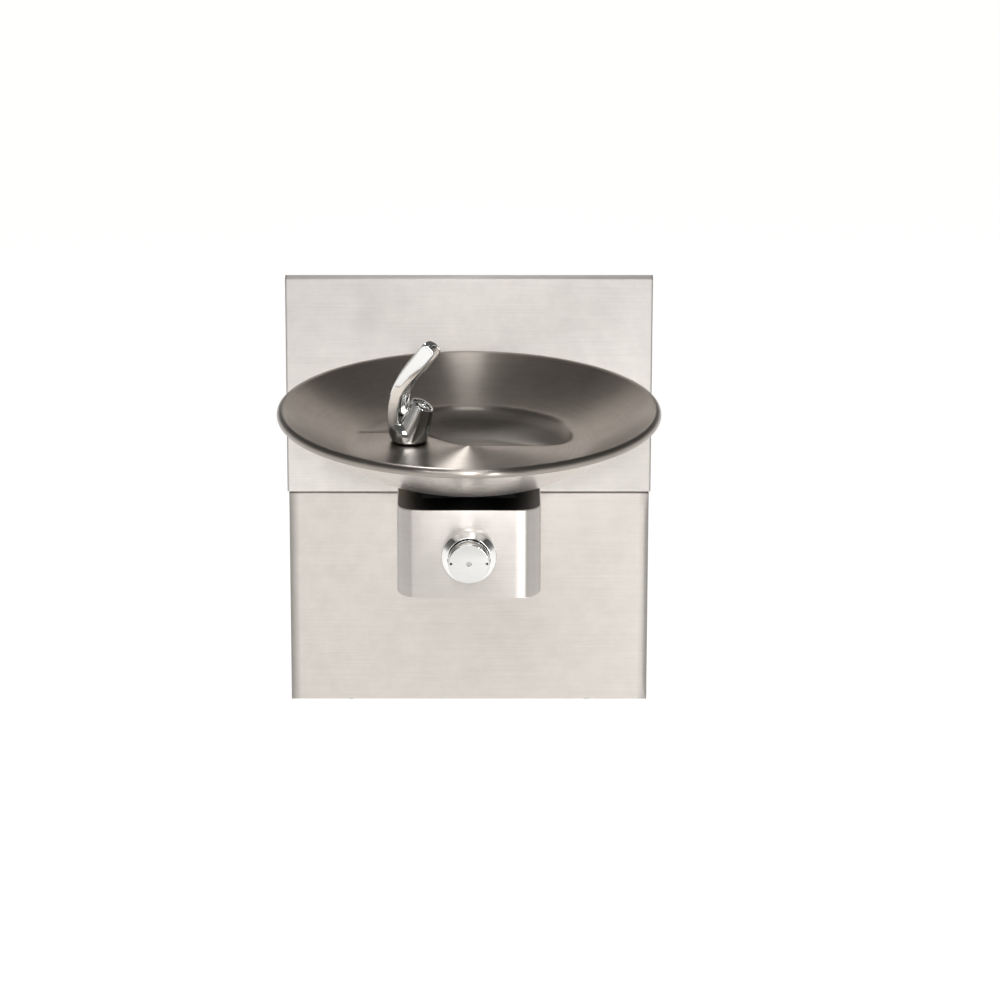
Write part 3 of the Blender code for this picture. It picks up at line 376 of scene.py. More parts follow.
def painted_shade_of_arm(shader, place):
    """Grey factors of the arm: painted shade on its top, lighter at the sides, and on its flanks.
    """
    facing = shader.node("ShaderNodeNewGeometry").outputs["Normal"]
    from_middle = shader.maths("ABSOLUTE", shader.part_of(place, "X"))
    # Painted shade under the bowl: near black in the middle of the arm's top, lighter towards its
    # ends.
    top_shade = shader.spread(from_middle, 0.03, 0.22, 0.040, 0.090)
    topside = shader.spread(shader.part_of(facing, "Z"), 0.0, 1.0, 0.90, 0.97)
    # Painted shade on the flanks, darkest where they face straight sideways.
    sideways = shader.maths("ABSOLUTE", shader.part_of(facing, "X"))
    return [shader.blend(topside, 1.0, top_shade), shader.spread(sideways, 1.0, 0.66, 0.85, 1.0)]


def brushed_sheet(name, colour, roughness, anisotropy, depth, metallic=1.0, shaded_top=False,
                  half_width=0.0, edge_shade=(0.50, 0.0015, 0.0125)):
    """Satin stainless with level grain; a half width paints shade at the two sides of a panel."""
    shader = Shader(name)
    place = shader.coordinates()
    grain = shader.noise(shader.scaled(place, (9.0, 9.0, 900.0)), 4.0, 0.6)
    long_grain = shader.noise(shader.scaled(place, (2.7, 2.7, 270.0)), 2.0)
    blotches = shader.noise(shader.scaled(place, (38.0, 38.0, 38.0)), 4.0, 0.65)
    shader.surface.inputs["Metallic"].default_value = metallic
    shader.brushed_along_z(anisotropy)
    shades = [shader.spread(grain, 0.95, 1.04), shader.spread(blotches, 0.95, 1.05)]
    if shaded_top:
        # Painted shade on the arm's top and flanks.
        shades += painted_shade_of_arm(shader, place)
    if half_width:
        # Painted shade along the panel's two sides.
        shades.append(painted_edge_shade(shader, place, half_width, edge_shade))
    rough = shader.maths("ADD", shader.spread(long_grain, -0.03, 0.03),
                         shader.spread(blotches, roughness - 0.03, roughness + 0.03))
    shader.bump(grain, 0.5, depth)
    return shader.finish(colour, shades, rough)


RING_GRAIN = 500.0


def ring_grain(shader, place):
    """Noise in fine rings round the bowl's centre."""
    shifted = shader.node("ShaderNodeVectorMath", operation="SUBTRACT")
    shader.connect(place, shifted.inputs[0])
    shifted.inputs[1].default_value = BOWL_CENTRE
    flat = shader.scaled(shifted.outputs[0], (1.0, 1.0, 0.0))
    radius = shader.node("ShaderNodeVectorMath", {0: flat}, operation="LENGTH").outputs["Value"]
    direction = shader.node("ShaderNodeVectorMath", {0: flat}, operation="NORMALIZE").outputs[0]
    height = shader.part_of(shifted.outputs[0], "Z")
    along = shader.maths("MULTIPLY", shader.maths("ADD", radius, height), RING_GRAIN)
    mixed = shader.node("ShaderNodeVectorMath", operation="MULTIPLY_ADD")
    shader.connect(direction, mixed.inputs[0])
    mixed.inputs[1].default_value = (2.2, 2.2, 0.0)
    shader.connect(shader.node("ShaderNodeCombineXYZ", {"Z": along}).outputs[0], mixed.inputs[2])
    return shader.noise(mixed.outputs[0], 2.0, 0.5)


def turned_finish(name, colour, roughness, anisotropy, depth, shade_below=None):
    """Stainless polished in rings; below an optional height it gets painted shade and is duller."""
    shader = Shader(name)
    place = shader.coordinates()
    grain = ring_grain(shader, place)
    blotches = shader.noise(shader.scaled(place, (30.0, 30.0, 30.0)), 4.0, 0.6)
    smears = shader.noise(shader.scaled(place, (9.0, 9.0, 9.0)), 0.0)
    shades = [shader.spread(grain, 0.94, 1.05), shader.spread(blotches, 0.94, 1.06)]
    rough = shader.spread(smears, roughness - 0.02, roughness + 0.02)
    if shade_below is not None:
        level = shader.part_of(place, "Z")
        low = shade_below - 0.003
        # Painted shade: the colour falls darker in the sunk basin below that height.
        shades.append(shader.spread(level, 0.42, 1.0, low - 0.006, shade_below))
        anisotropy = shader.spread(level, 0.25, anisotropy, low, shade_below)
        rough = shader.maths("MULTIPLY", rough, shader.spread(level, 1.35, 1.0, low, shade_below))
    shader.surface.inputs["Metallic"].default_value = 1.0
    shader.brushed_along_z(anisotropy)
    shader.bump(grain, 0.5, depth)
    return shader.finish(colour, shades, rough)


def polished(name, colour, roughness):
    """Plated metal with faint wiping marks and slight waviness."""
    shader = Shader(name)
    place = shader.coordinates()
    wipes = shader.noise(shader.scaled(place, (90.0, 90.0, 260.0)), 3.0)
    waves = shader.noise(shader.scaled(place, (60.0, 60.0, 60.0)), 1.0)
    shader.surface.inputs["Metallic"].default_value = 1.0
    shader.bump(waves, 0.25, 0.0001)
    return shader.finish(colour, [shader.spread(wipes, 0.97, 1.0)],
                         shader.spread(wipes, roughness, roughness + 0.04))


def dull(name, colour, roughness, metallic):
    """Plain machined, drawn or moulded finish with fine grain and blotches."""
    shader = Shader(name)
    place = shader.coordinates()
    fine = shader.noise(shader.scaled(place, (400.0, 400.0, 400.0)), 2.0)
    blotches = shader.noise(shader.scaled(place, (70.0, 70.0, 70.0)), 4.0, 0.6)
    shader.surface.inputs["Metallic"].default_value = metallic
    shader.bump(fine, 0.4, 0.00004)
    return shader.finish(colour, [shader.spread(blotches, 0.88, 1.12)],
                         shader.spread(blotches, roughness - 0.06, roughness + 0.06))


# Both panels get painted shade along their bent sides: a thin dark line on the upper one, a wider
# gradient on the lower one.
PANEL = brushed_sheet("satin_panel", (0.82, 0.78, 0.745), 0.50, 0.5, 0.000006, metallic=0.12,
                      half_width=UPPER_HIGH.x, edge_shade=(0.30, 0.0004, 0.0026))
LOWER_PANEL = brushed_sheet("satin_lower_panel", (0.69, 0.65, 0.61), 0.42, 0.75, 0.000006,
                            metallic=0.6, half_width=LOWER_HIGH.x)
# The arm's top and flanks get painted shade.
ARM = brushed_sheet("satin_arm", (0.60, 0.567, 0.539), 0.38, 0.92, 0.000004, shaded_top=True)
SATIN_PART = brushed_sheet("satin_part", (0.68, 0.65, 0.62), 0.36, 0.6, 0.000004)
# The sunk basin below the deck gets painted shade.
BASIN = turned_finish("bowl_satin", (0.372, 0.338, 0.306), 0.30, 0.92, 0.000003,
                      shade_below=RIM_HEIGHT - DECK_DEPTH - 0.001)
SHELL = turned_finish("shell_satin", (0.76, 0.72, 0.69), 0.28, 0.1, 0.0000015)
CHROME = polished("bright_chrome", (0.90, 0.90, 0.89), 0.03)
BUTTON_CHROME = polished("button_chrome", (0.69, 0.69, 0.68), 0.06)
ZINC = dull("zinc_plate", (0.56, 0.57, 0.58), 0.42, 1.0)
BRASS = dull("machined_brass", (0.70, 0.52, 0.24), 0.34, 1.0)
COPPER = dull("drawn_copper", (0.72, 0.37, 0.22), 0.34, 1.0)
RUBBER = dull("washer_rubber", (0.025, 0.025, 0.027), 0.75, 0.0)
SPRING = dull("spring_wire", (0.50, 0.50, 0.52), 0.30, 1.0)
# Near-black painted shade for the saddle in the shadowed gap under the bowl.
SADDLE_SHADE = dull("saddle_painted_shade", (0.006, 0.006, 0.006), 0.92, 0.0)

CAD_FINISHES = {
    "satin_stainless": SATIN_PART, "bowl_stainless": BASIN, "polished_chrome": CHROME,
    "zinc_steel": ZINC, "plain_brass": BRASS, "copper_tube": COPPER,
    "black_rubber": RUBBER, "spring_steel": SPRING,
}


# ---- bowl ---------------------------------------------------------------------------------------


def ease(value):
    """Smooth step from 0 to 1."""
    value = min(1.0, max(0.0, value))
    return value * value * (3 - 2 * value)


def blended_minimum(first, second, blend):
    """The smaller of two values, with a rounded change-over where they meet."""
    closeness = max(blend - abs(first - second), 0.0) / blend
    return min(first, second) - closeness * closeness * blend / 4


WALL_TOP_RADIUS = ROLL_CENTRE_RADIUS - ROLL_RADIUS * math.sin(ROLL_INNER_ANGLE)
WALL_TOP_DEPTH = ROLL_RADIUS * (1 - math.cos(ROLL_INNER_ANGLE))


def wall_depth(radius):
    """Parabola from the roll's slope down to the foot of the wall."""
    run = WALL_TOP_RADIUS - radius
    whole = WALL_TOP_RADIUS - WALL_FOOT_RADIUS
    steep = math.tan(ROLL_INNER_ANGLE)
    fading = (WALL_TOP_DEPTH + steep * whole - WALL_FOOT_DEPTH) / whole ** 2
    return WALL_TOP_DEPTH + steep * run - fading * run * run


def basin_margin(x, y):
    """How far a point lies inside the sunken basin's outline."""
    step_back = 1 - ease((x + 0.075) / 0.075)
    front_edge = -0.003 + 0.050 * step_back
    behind_edge = (y - front_edge) / math.hypot(1.0, step_back)
    inside_right = 0.106 - math.hypot(max(x - 0.020, 0.0), y - 0.042)
    inside_wall = WALL_FOOT_RADIUS - math.hypot(x, y)
    margin = blended_minimum(behind_edge, inside_right, 0.030)
    return blended_minimum(margin, inside_wall, 0.006)


def basin_wall_width(x, y):
    """The basin's wall is steep at the front, longer at the back, and fades out at the left."""
    return 0.030 + 0.032 * ease((y - 0.030) / 0.060) + 0.036 * ease((-x - 0.010) / 0.090)


def bowl_depth(x, y):
    """Depth of the bowl's inner surface below the rim at a point measured from its centre."""
    dish = blended_minimum(wall_depth(math.hypot(x, y)), DECK_DEPTH, 0.004)
    share = basin_margin(x, y) / basin_wall_width(x, y)
    share = min(1.0, -blended_minimum(-share, 0.0, 0.04))
    sunk = 1 - (1 - share) ** 1.8
    from_drain = math.hypot(x - DRAIN.x, y - DRAIN.y + BOWL_CENTRE.y)
    floor = FLOOR_DEPTH - FLOOR_FALL * max(0.0, from_drain - DRAIN_SEAT)
    level_seat = 1 - ease((from_drain - DRAIN_SEAT) / 0.010)
    return dish + max(sunk, level_seat) * (floor - dish)


def roll_point(angle):
    """Radius and depth on the rim's roll, by the angle outwards from its top."""
    return (ROLL_CENTRE_RADIUS + ROLL_RADIUS * math.sin(angle),
            ROLL_RADIUS * (1 - math.cos(angle)))


def ring_centre(radius):
    """The inner rings move over to the drain, so that they fit its seat."""
    share = min(1.0, max(0.0, (WALL_FOOT_RADIUS - radius) / (WALL_FOOT_RADIUS - DRAIN_SEAT)))
    return share * DRAIN.x, share * (DRAIN.y - BOWL_CENTRE.y)


def sheet_body(rows_points, thickness, side):
    """Closed sheet below (side -1) or above (side 1) a surface given as rings of points."""
    bm = bmesh.new()
    rows = [[bm.verts.new(point) for point in row] for row in rows_points]
    for outer, inner in zip(rows, rows[1:]):
        join_rows(bm, outer, inner)
    bm.normal_update()
    first = rows[-2][0].link_faces[0]
    if first.normal.z < 0:
        bmesh.ops.reverse_faces(bm, faces=bm.faces)
    sheet = mesh_object("sheet", bm)
    modifier = sheet.modifiers.new("sheet", "SOLIDIFY")
    modifier.thickness = thickness
    modifier.offset = side
    modifier.use_even_offset = True
    result = evaluated_bmesh(sheet)
    bpy.data.objects.remove(sheet, do_unlink=True)
    return result


def ring_points(radius, depth_at, sides, centre=(0.0, 0.0)):
    """Points round a centre, each at the depth that belongs to its place in the bowl."""
    points = []
    for step in range(sides):
        angle = 2 * math.pi * step / sides
        x = centre[0] + radius * math.cos(angle)
        y = centre[1] + radius * math.sin(angle)
        points.append((BOWL_CENTRE.x + x, BOWL_CENTRE.y + y, RIM_HEIGHT - depth_at(x, y)))
    return points


def bowl_basin():
    """Rim roll, wall, deck and sunken basin in one sheet."""
    sides = 240
    rows = []
    for step in range(25):
        angle = ROLL_JOINT_ANGLE + (-ROLL_INNER_ANGLE - ROLL_JOINT_ANGLE) * step / 24
        radius, depth = roll_point(angle)
        rows.append(ring_points(radius, lambda x, y: depth, sides))
    radius = WALL_TOP_RADIUS - 0.002
    while radius > DRAIN_HOLE_RADIUS:
        rows.append(ring_points(radius, bowl_depth, sides, ring_centre(radius)))
        radius -= 0.0013 if radius < WALL_FOOT_RADIUS + 0.006 else 0.004
    rows.append(ring_points(DRAIN_HOLE_RADIUS, bowl_depth, sides, ring_centre(DRAIN_HOLE_RADIUS)))
    bm = sheet_body(rows, BOWL_SHEET, -1.0)
    tool = bmesh.new()
    shank_hole = (BUBBLER_FOOT.x, BUBBLER_FOOT.y, RIM_HEIGHT - DECK_DEPTH)
    drill_into(tool, shank_hole, UP, 0.02, SHANK_HOLE_RADIUS)
    bm = baked(bm, tool, "DIFFERENCE")
    add_piece("bowl_basin_sheet", bm, BASIN, "fixed", ["bowl_basin"], 40.0)


def bowl_shell():
    """Underside: a cone from the rim's joint to a flat bottom, open round the drain."""
    sides = 192
    cone_top_radius, cone_top_depth = roll_point(math.pi - SHELL_SLOPE)
    foot = 0.134
    foot_depth = cone_top_depth + (cone_top_radius - foot) * math.tan(SHELL_SLOPE)
    outline = [roll_point(ROLL_JOINT_ANGLE + math.radians(5.0 + step * 2.5)) for step in range(4)]
    outline += [(cone_top_radius, cone_top_depth), (foot, foot_depth), (0.121, 0.0712),
                (0.108, 0.0742), (0.092, SHELL_BOTTOM_DEPTH), (0.060, SHELL_BOTTOM_DEPTH),
                (0.030, SHELL_BOTTOM_DEPTH)]
    rows = []
    for radius, depth in outline:
        share = 1 - ease((radius - 0.030) / 0.062)
        centre = (share * DRAIN.x, share * (DRAIN.y - BOWL_CENTRE.y))
        rows.append(ring_points(radius, lambda x, y: depth, sides, centre))
    bm = sheet_body(rows, SHELL_SHEET, 1.0)
    tool = bmesh.new()
    shank_hole = (BUBBLER_FOOT.x, BUBBLER_FOOT.y, RIM_HEIGHT - SHELL_BOTTOM_DEPTH)
    drill_into(tool, shank_hole, UP, 0.01, SHANK_HOLE_RADIUS)
    bm = baked(bm, tool, "DIFFERENCE")
    add_piece("bowl_underside", bm, SHELL, "fixed", ["bowl_shell"], 40.0)


# ---- panels -------------------------------------------------------------------------------------

PANEL_SHEET = 0.0012
PANEL_EDGE_RADIUS = 0.0016
CROWN_ROOM = 0.0022  # extra thickness of a panel's front, so that its crown can't break through
# Where a panel gets extra edges for its crown: distances from each side, shares of its height.
SIDE_CUTS = (0.003, 0.006, 0.009, 0.012, 0.016)
LEVEL_CUTS = (0.02, 0.06, 0.12, 0.25, 0.4, 0.6, 0.8, 0.9, 0.95, 0.98)
ARM_WINDOW_BOTTOM = 0.0277


def cut_across(bm, point, normal):
    """Add the edges where a plane crosses every face."""
    geometry = bm.verts[:] + bm.edges[:] + bm.faces[:]
    bmesh.ops.bisect_plane(bm, geom=geometry, plane_co=point, plane_no=normal)


def folded_panel(low, high, crown):
    """Block with rounded front edges; crown lets its front fall back near the two sides."""
    bm = bmesh.new()
    size = high - low
    box_into(bm, low, high)
    for offset in SIDE_CUTS:
        for x in (low.x + offset, high.x - offset):
            cut_across(bm, (x, 0, 0), (1, 0, 0))
    for share in LEVEL_CUTS:
        cut_across(bm, (0, 0, low.z + size.z * share), (0, 0, 1))
    for vert in bm.verts:
        if vert.co.y < low.y + 1e-5:
            side = min(vert.co.x - low.x, high.x - vert.co.x)
            vert.co.y += crown(side, (vert.co.z - low.z) / size.z)
    edges = [edge for edge in bm.edges if is_front_border(edge, low, high)]
    bmesh.ops.bevel(bm, geom=edges, offset=PANEL_EDGE_RADIUS, segments=5, profile=0.5,
                    affect="EDGES", clamp_overlap=True)
    return bm


def is_front_border(edge, low, high):
    """Whether an edge runs along the outline of the panel's front."""
    first, second = (vert.co for vert in edge.verts)
    if max(first.y, second.y) > low.y + 0.004:
        return False
    for axis, limit in ((0, low.x), (0, high.x), (2, low.z), (2, high.z)):
        if abs(first[axis] - limit) < 1e-6 and abs(second[axis] - limit) < 1e-6:
            return True
    return False


def hollowed(bm, low, high, seam):
    """Cut the inside of a tray, and its flange at the seam's height in front of the plate.

    The front stays CROWN_ROOM thicker than the sheet; from the room that doesn't show.
    """
    tool = bmesh.new()
    box_into(tool, low + Vector((PANEL_SHEET, PANEL_SHEET + CROWN_ROOM, PANEL_SHEET)),
             high - Vector((PANEL_SHEET, -0.01, PANEL_SHEET)))
    bm = baked(bm, tool, "DIFFERENCE")
    plate_low, plate_high = limits("wall_plate")
    relief = bmesh.new()
    box_into(relief, (plate_low.x - 0.001, plate_low.y - GAP, seam - 0.004),
             (plate_high.x + 0.001, 0.01, seam + 0.004))
    return baked(bm, relief, "DIFFERENCE")


def upper_panel():
    """Plain tray with a window that the arm passes through."""
    bm = folded_panel(UPPER_LOW, UPPER_HIGH, lambda side, share: 0.0)
    bm = hollowed(bm, UPPER_LOW, UPPER_HIGH, UPPER_LOW.z)
    window = bmesh.new()
    box_into(window, (ARM_LOW.x - 0.0008, UPPER_LOW.y - 0.02, ARM_WINDOW_BOTTOM),
             (ARM_HIGH.x + 0.0008, -0.008, ARM_HIGH.z + 0.0008))
    bm = baked(bm, window, "DIFFERENCE")
    add_piece("upper_panel", bm, PANEL, "fixed", ["upper_back_panel"], 25.0)


def lower_panel_crown(side, share):
    """How far the lower panel's front falls back, by distance from a side and height share."""
    width = 0.0115 + 0.003 * math.sin(math.pi * min(1.0, 1.2 * (1 - share)))
    across = max(0.0, 1 - side / width)
    ends = min(1.0, (1 - share) / 0.10, share / 0.06)
    return 0.0011 * across * across * max(0.0, ends)


def lower_panel():
    """Crowned tray with two screw holes in its underside."""
    bm = folded_panel(LOWER_LOW, LOWER_HIGH, lower_panel_crown)
    bm = hollowed(bm, LOWER_LOW, LOWER_HIGH, LOWER_HIGH.z)
    tool = bmesh.new()
    for name in ("access_panel_screw_left", "access_panel_screw_right"):
        centre = middle(name)
        drill_into(tool, (centre.x, centre.y, LOWER_LOW.z), UP, 0.01, 0.0026)
    bm = baked(bm, tool, "DIFFERENCE")
    add_piece("lower_panel", bm, LOWER_PANEL, "fixed", ["lower_access_panel"],
              25.0)


# ---- arm ----------------------------------------------------------------------------------------

ARM_SHEET = 0.0015
ARM_CORNER = 0.020
ARM_SLOPE = math.radians(7.0)
ARM_BEND = 0.0016
ARM_FACET = 0.0120
ARM_FACET_TILT = math.radians(7.0)


def arm_bottom(y):
    """Height of the arm's sloping underside."""
    return ARM_LOW.z + (y - ARM_LOW.y) * math.tan(ARM_SLOPE)


def arm_outline(inset, back):
    """Rear to rear round the front; a strip next to each corner is set back by a light bend."""
    half = ARM_HIGH.x - inset
    front = ARM_LOW.y + inset
    radius = ARM_CORNER + 0.002 - inset
    across = half - radius * (1 - math.sin(ARM_FACET_TILT))
    set_back = ARM_FACET * math.tan(ARM_FACET_TILT)
    corner = []
    for step in range(17):
        angle = (math.pi / 2 - ARM_FACET_TILT) * step / 16
        corner.append((half - radius + radius * math.cos(angle),
                       front + set_back + radius * (math.cos(ARM_FACET_TILT) - math.sin(angle))))
    right = [(half, back), (half, back - 0.010), *corner, (across - ARM_FACET, front)]
    return right + [(-x, y) for x, y in reversed(right)]


def arm_block(inset, back, lowest, highest, bend=0.0):
    """Extruded U; its upper edge is rounded when a bend radius is given."""
    bm = bmesh.new()
    levels = [(inset, lowest)]
    if bend:
        for step in range(6):
            angle = math.pi / 2 * step / 5
            levels.append((inset + bend * (1 - math.cos(angle)),
                           lambda y, up=bend * math.sin(angle): highest(y) - bend + up))
    else:
        levels.append((inset, highest))
    rows = [[bm.verts.new((x, y, height(y))) for x, y in arm_outline(edge, back)]
            for edge, height in levels]
    return lofted(bm, rows)


def arm_shell():
    """Arm with its holes; it comes out solid.

    The cavity is cut as a closed void, and the next call of baked() turns the void's faces
    outwards, which fills it in again.
    """
    back = ARM_HIGH.y
    bm = arm_block(0.0, back, arm_bottom, lambda y: ARM_HIGH.z, ARM_BEND)
    lip = ARM_SHEET / math.cos(ARM_SLOPE)
    cavity = arm_block(ARM_SHEET, back - ARM_SHEET, lambda y: arm_bottom(y) + lip,
                       lambda y: ARM_HIGH.z - ARM_SHEET)
    bm = baked(bm, cavity, "DIFFERENCE")
    window = arm_block(0.014, -0.036, lambda y: arm_bottom(y) - 0.01,
                       lambda y: arm_bottom(y) + 0.01)
    bm = baked(bm, window, "DIFFERENCE")
    bm = baked(bm, arm_drills(back), "DIFFERENCE")
    add_piece("arm_housing", bm, ARM, "fixed", ["arm_shell"], 25.0)


def arm_drills(back):
    """Drills for the button, drain, bubbler and bolts, and the opening at the arm's back."""
    tool = bmesh.new()
    drill_into(tool, BUTTON_AXIS, -FRONT, 0.01, NOSE_HOLE_RADIUS)
    for centre, radius in ((DRAIN, 0.030), (BUBBLER_FOOT, 0.0095)):
        drill_into(tool, (centre.x, centre.y, ARM_HIGH.z), UP, 0.01, radius)
    for node in frame["nodes"]:
        centre = middle(node)
        if node.startswith("saddle_bolt"):
            drill_into(tool, (centre.x, centre.y, ARM_HIGH.z), UP, 0.01, 0.0036, 16)
        elif node.startswith("arm_bolt"):
            drill_into(tool, (centre.x, back, centre.z), -FRONT, 0.006, 0.0036, 16)
        elif node.startswith("cover_screw"):
            drill_into(tool, (centre.x, centre.y, arm_bottom(centre.y)), UP, 0.006, 0.0026, 16)
    box_into(tool, (-0.055, back - 0.006, 0.036), (0.055, back + 0.006, 0.088))
    return tool


# ---- bubbler ------------------------------------------------------------------------------------

BUBBLER_YAW = math.radians(-14.0)
GUARD_YAW = math.radians(-30.0)
BASE_RADIUS = 0.0224
WAIST_RADIUS = 0.0230
NOZZLE_TILT = math.radians(28.0)
NOZZLE_CENTRE = Vector((0.0169, 0.0, 0.0450))
NOZZLE_RADIUS = 0.0140
SOCKET_RADIUS = 0.0116
# Height, shift away from the outlet and radius of the circles that widen the body's foot.
FLARE = ((0.0006, 0.0008, 0.0221), (0.0020, 0.0011, 0.0223), (0.008, 0.0024, 0.0222),
         (0.012, 0.0032, 0.0214), (0.016, 0.0042, 0.0196), (0.020, 0.0052, 0.0166),
         (0.0225, 0.0057, 0.0125), (0.024, 0.0060, 0.0080))
# Control points of the guard's centre line: (towards the outlet, up).
GUARD_CURVE = [Vector(point) for point in ((-0.0118, 0.004), (-0.0270, 0.0660),
                                           (0.0030, 0.0800), (0.0335, 0.1240))]
# Half of the guard's crescent section: (towards the outlet, sideways), as shares of its sizes.
GUARD_SECTION = [(-1.0, 0.0), (-0.99, 0.38), (-0.92, 0.74), (-0.80, 0.93), (-0.64, 1.0),
                 (0.30, 1.0), (0.98, 0.98), (1.0, 0.84), (0.90, 0.78), (0.45, 0.62),
                 (0.16, 0.34), (0.08, 0.0)]


def guard_centre(t):
    """Point and direction on the guard's centre line."""
    p0, p1, p2, p3 = GUARD_CURVE
    s = 1 - t
    point = p0 * s ** 3 + p1 * (3 * s * s * t) + p2 * (3 * s * t * t) + p3 * t ** 3
    slope = (p1 - p0) * (3 * s * s) + (p2 - p1) * (6 * s * t) + (p3 - p2) * (3 * t * t)
    return point, slope.normalized()


def guard_half_sizes(t):
    """Half thickness and half width of the guard along its length; it rounds off at the tip."""
    past = max(0.0, t - 0.90) / 0.10
    closing = (1 - past ** 4) ** 0.25
    thickness = 0.0083 + 0.0022 * ease((t - 0.4) / 0.4)
    width = 0.0166 - 0.0075 * ease(t / 0.95)
    return thickness * max(closing, 0.25), width * (0.75 + 0.25 * closing)


def guard_blade():
    """Curved blade that shields the outlet: a crescent section along a bent centre line."""
    bm = bmesh.new()
    outline = GUARD_SECTION + [(off, -side) for off, side in reversed(GUARD_SECTION[1:-1])]
    rows = []
    for step in range(61):
        t = step / 60
        point, forward = guard_centre(t)
        half_thickness, half_width = guard_half_sizes(t)
        across = Vector((forward.y, -forward.x))
        rows.append([bm.verts.new((point.x + across.x * off * half_thickness, side * half_width,
                                   point.y + across.y * off * half_thickness))
                     for off, side in outline])
    return lofted(bm, rows)


def lofted_circles(circles, sides=64):
    """Loft through circles given as (centre, radius, tilt about Y)."""
    bm = bmesh.new()
    rows = []
    for centre, radius, tilt in circles:
        row = []
        for step in range(sides):
            angle = 2 * math.pi * step / sides
            x, y = radius * math.cos(angle), radius * math.sin(angle)
            row.append(bm.verts.new((centre.x + x * math.cos(tilt), y,
                                     centre.z - x * math.sin(tilt))))
        rows.append(row)
    return lofted(bm, rows)


def nozzle_mouth():
    """Centre and direction of the tilted outlet ring."""
    yaw = Matrix.Rotation(BUBBLER_YAW, 3, "Z")
    axis = yaw @ Vector((math.sin(NOZZLE_TILT), 0.0, math.cos(NOZZLE_TILT)))
    return BUBBLER_FOOT + yaw @ NOZZLE_CENTRE, axis


def softened(bm):
    """Melt joined solids into one smooth casting."""
    soft = solid_object("soft", bm)
    remesh = soft.modifiers.new("remesh", "REMESH")
    remesh.mode = "VOXEL"
    remesh.voxel_size = 0.0006
    relax = soft.modifiers.new("relax", "SMOOTH")
    relax.factor = 0.5
    relax.iterations = 5
    result = evaluated_bmesh(soft)
    bpy.data.objects.remove(soft, do_unlink=True)
    return result


def bubbler_body():
    """Leaning boss, flare and guard as one casting, with sockets for the outlet and shank."""
    boss = lofted_circles([
        (NOZZLE_CENTRE * share,
         BASE_RADIUS + (WAIST_RADIUS - BASE_RADIUS) * min(1.0, share / 0.06)
         + (NOZZLE_RADIUS - WAIST_RADIUS) * share,
         NOZZLE_TILT * share)
        for share in (0.0, 0.03, 0.06, 0.3, 0.55, 0.8, 0.97, 1.0)])
    flare = lofted_circles([(Vector((-shift, 0.0, height)), radius, 0.0)
                            for height, shift, radius in FLARE])
    blade = guard_blade()
    blade.transform(Matrix.Rotation(GUARD_YAW - BUBBLER_YAW, 4, "Z"))
    bm = softened(baked(baked(boss, flare, "UNION"), blade, "UNION"))
    axis = Vector((math.sin(NOZZLE_TILT), 0, math.cos(NOZZLE_TILT)))
    tool = bmesh.new()
    cylinder_into(tool, NOZZLE_CENTRE - axis * 0.008, NOZZLE_CENTRE + axis * 0.004,
                  SOCKET_RADIUS, 64)
    cylinder_into(tool, (0, 0, -0.01), (0, 0, 0.012), 0.0070)
    bm = baked(bm, tool, "DIFFERENCE")
    bm.transform(Matrix.Translation(BUBBLER_FOOT) @ Matrix.Rotation(BUBBLER_YAW, 4, "Z"))
    add_piece("bubbler_casting", bm, CHROME, "fixed", ["bubbler_body"], 45.0)


def bubbler_nozzle():
    """Recessed outlet with slots round a raised centre."""
    mouth, axis = nozzle_mouth()
    profile = rounded_profile([(0.0, -0.0072, 0), (0.0108, -0.0072, 0), (0.0108, -0.0020, 0.0006),
                               (0.0070, -0.0008, 0.0005), (0.0040, -0.0008, 0.0004),
                               (0.0030, -0.0040, 0), (0.0, -0.0040, 0)])
    bm = turned(profile, 64)
    tool = bmesh.new()
    for step in range(6):
        turn = Matrix.Rotation(2 * math.pi * (step + 0.5) / 6, 4, "Z")
        box_into(tool, (0.0066, -0.0013, -0.0045), (0.0101, 0.0013, 0.002), turn)
    bm = baked(bm, tool, "DIFFERENCE")
    bm.transform(place_along(axis, mouth))
    add_piece("bubbler_outlet", bm, CHROME, "fixed", ["bubbler_nozzle"])


# ---- push button --------------------------------------------------------------------------------


def escutcheon():
    """Ring with a wide bevel round the button's rear half."""
    profile = rounded_profile([
        (NOSE_HOLE_RADIUS, GAP, 0), (0.0327, GAP, 0.0003), (0.0327, 0.0156, 0.0030),
        (0.0266, 0.0220, 0.0012), (0.0256, 0.0220, 0.0003), (0.0256, 0.0045, 0),
        (NOSE_HOLE_RADIUS, 0.0045, 0)], 8)
    bm = turned(profile, 128, ring=True, matrix=place_along(FRONT, BUTTON_AXIS))
    add_piece("button_surround", bm, CHROME, "fixed", ["button_escutcheon"])


def push_button():
    """Cup with a hole for the flow screw and two spanner holes near its rim."""
    profile = rounded_profile([
        (0.0, 0.0335, 0), (0.0222, 0.0335, 0), (0.0222, 0.0125, 0), (0.0248, 0.0125, 0.0003),
        (0.0248, 0.0380, 0.0018), (0.0, 0.0380, 0)], 6)
    bm = turned(profile, 128, matrix=place_along(FRONT, BUTTON_AXIS))
    tool = bmesh.new()
    cylinder_into(tool, BUTTON_AXIS + FRONT * 0.030, BUTTON_AXIS + FRONT * 0.045, 0.0031, 48)
    for x in (-0.0212, 0.0212):
        start = BUTTON_AXIS + FRONT * 0.0270 + Vector((x, 0.0, 0.0))
        cylinder_into(tool, start, start + FRONT * 0.02, 0.0017, 24)
    bm = baked(bm, tool, "DIFFERENCE")
    add_piece("button_cap", bm, BUTTON_CHROME, "button", ["push_button"])


# ---- CAD nodes that stay ------------------------------------------------------------------------

ROUND_PIPES = ("waste_pipe", "trap_bend", "trap_outlet_arm", "inlet_tube", "bubbler_tube")


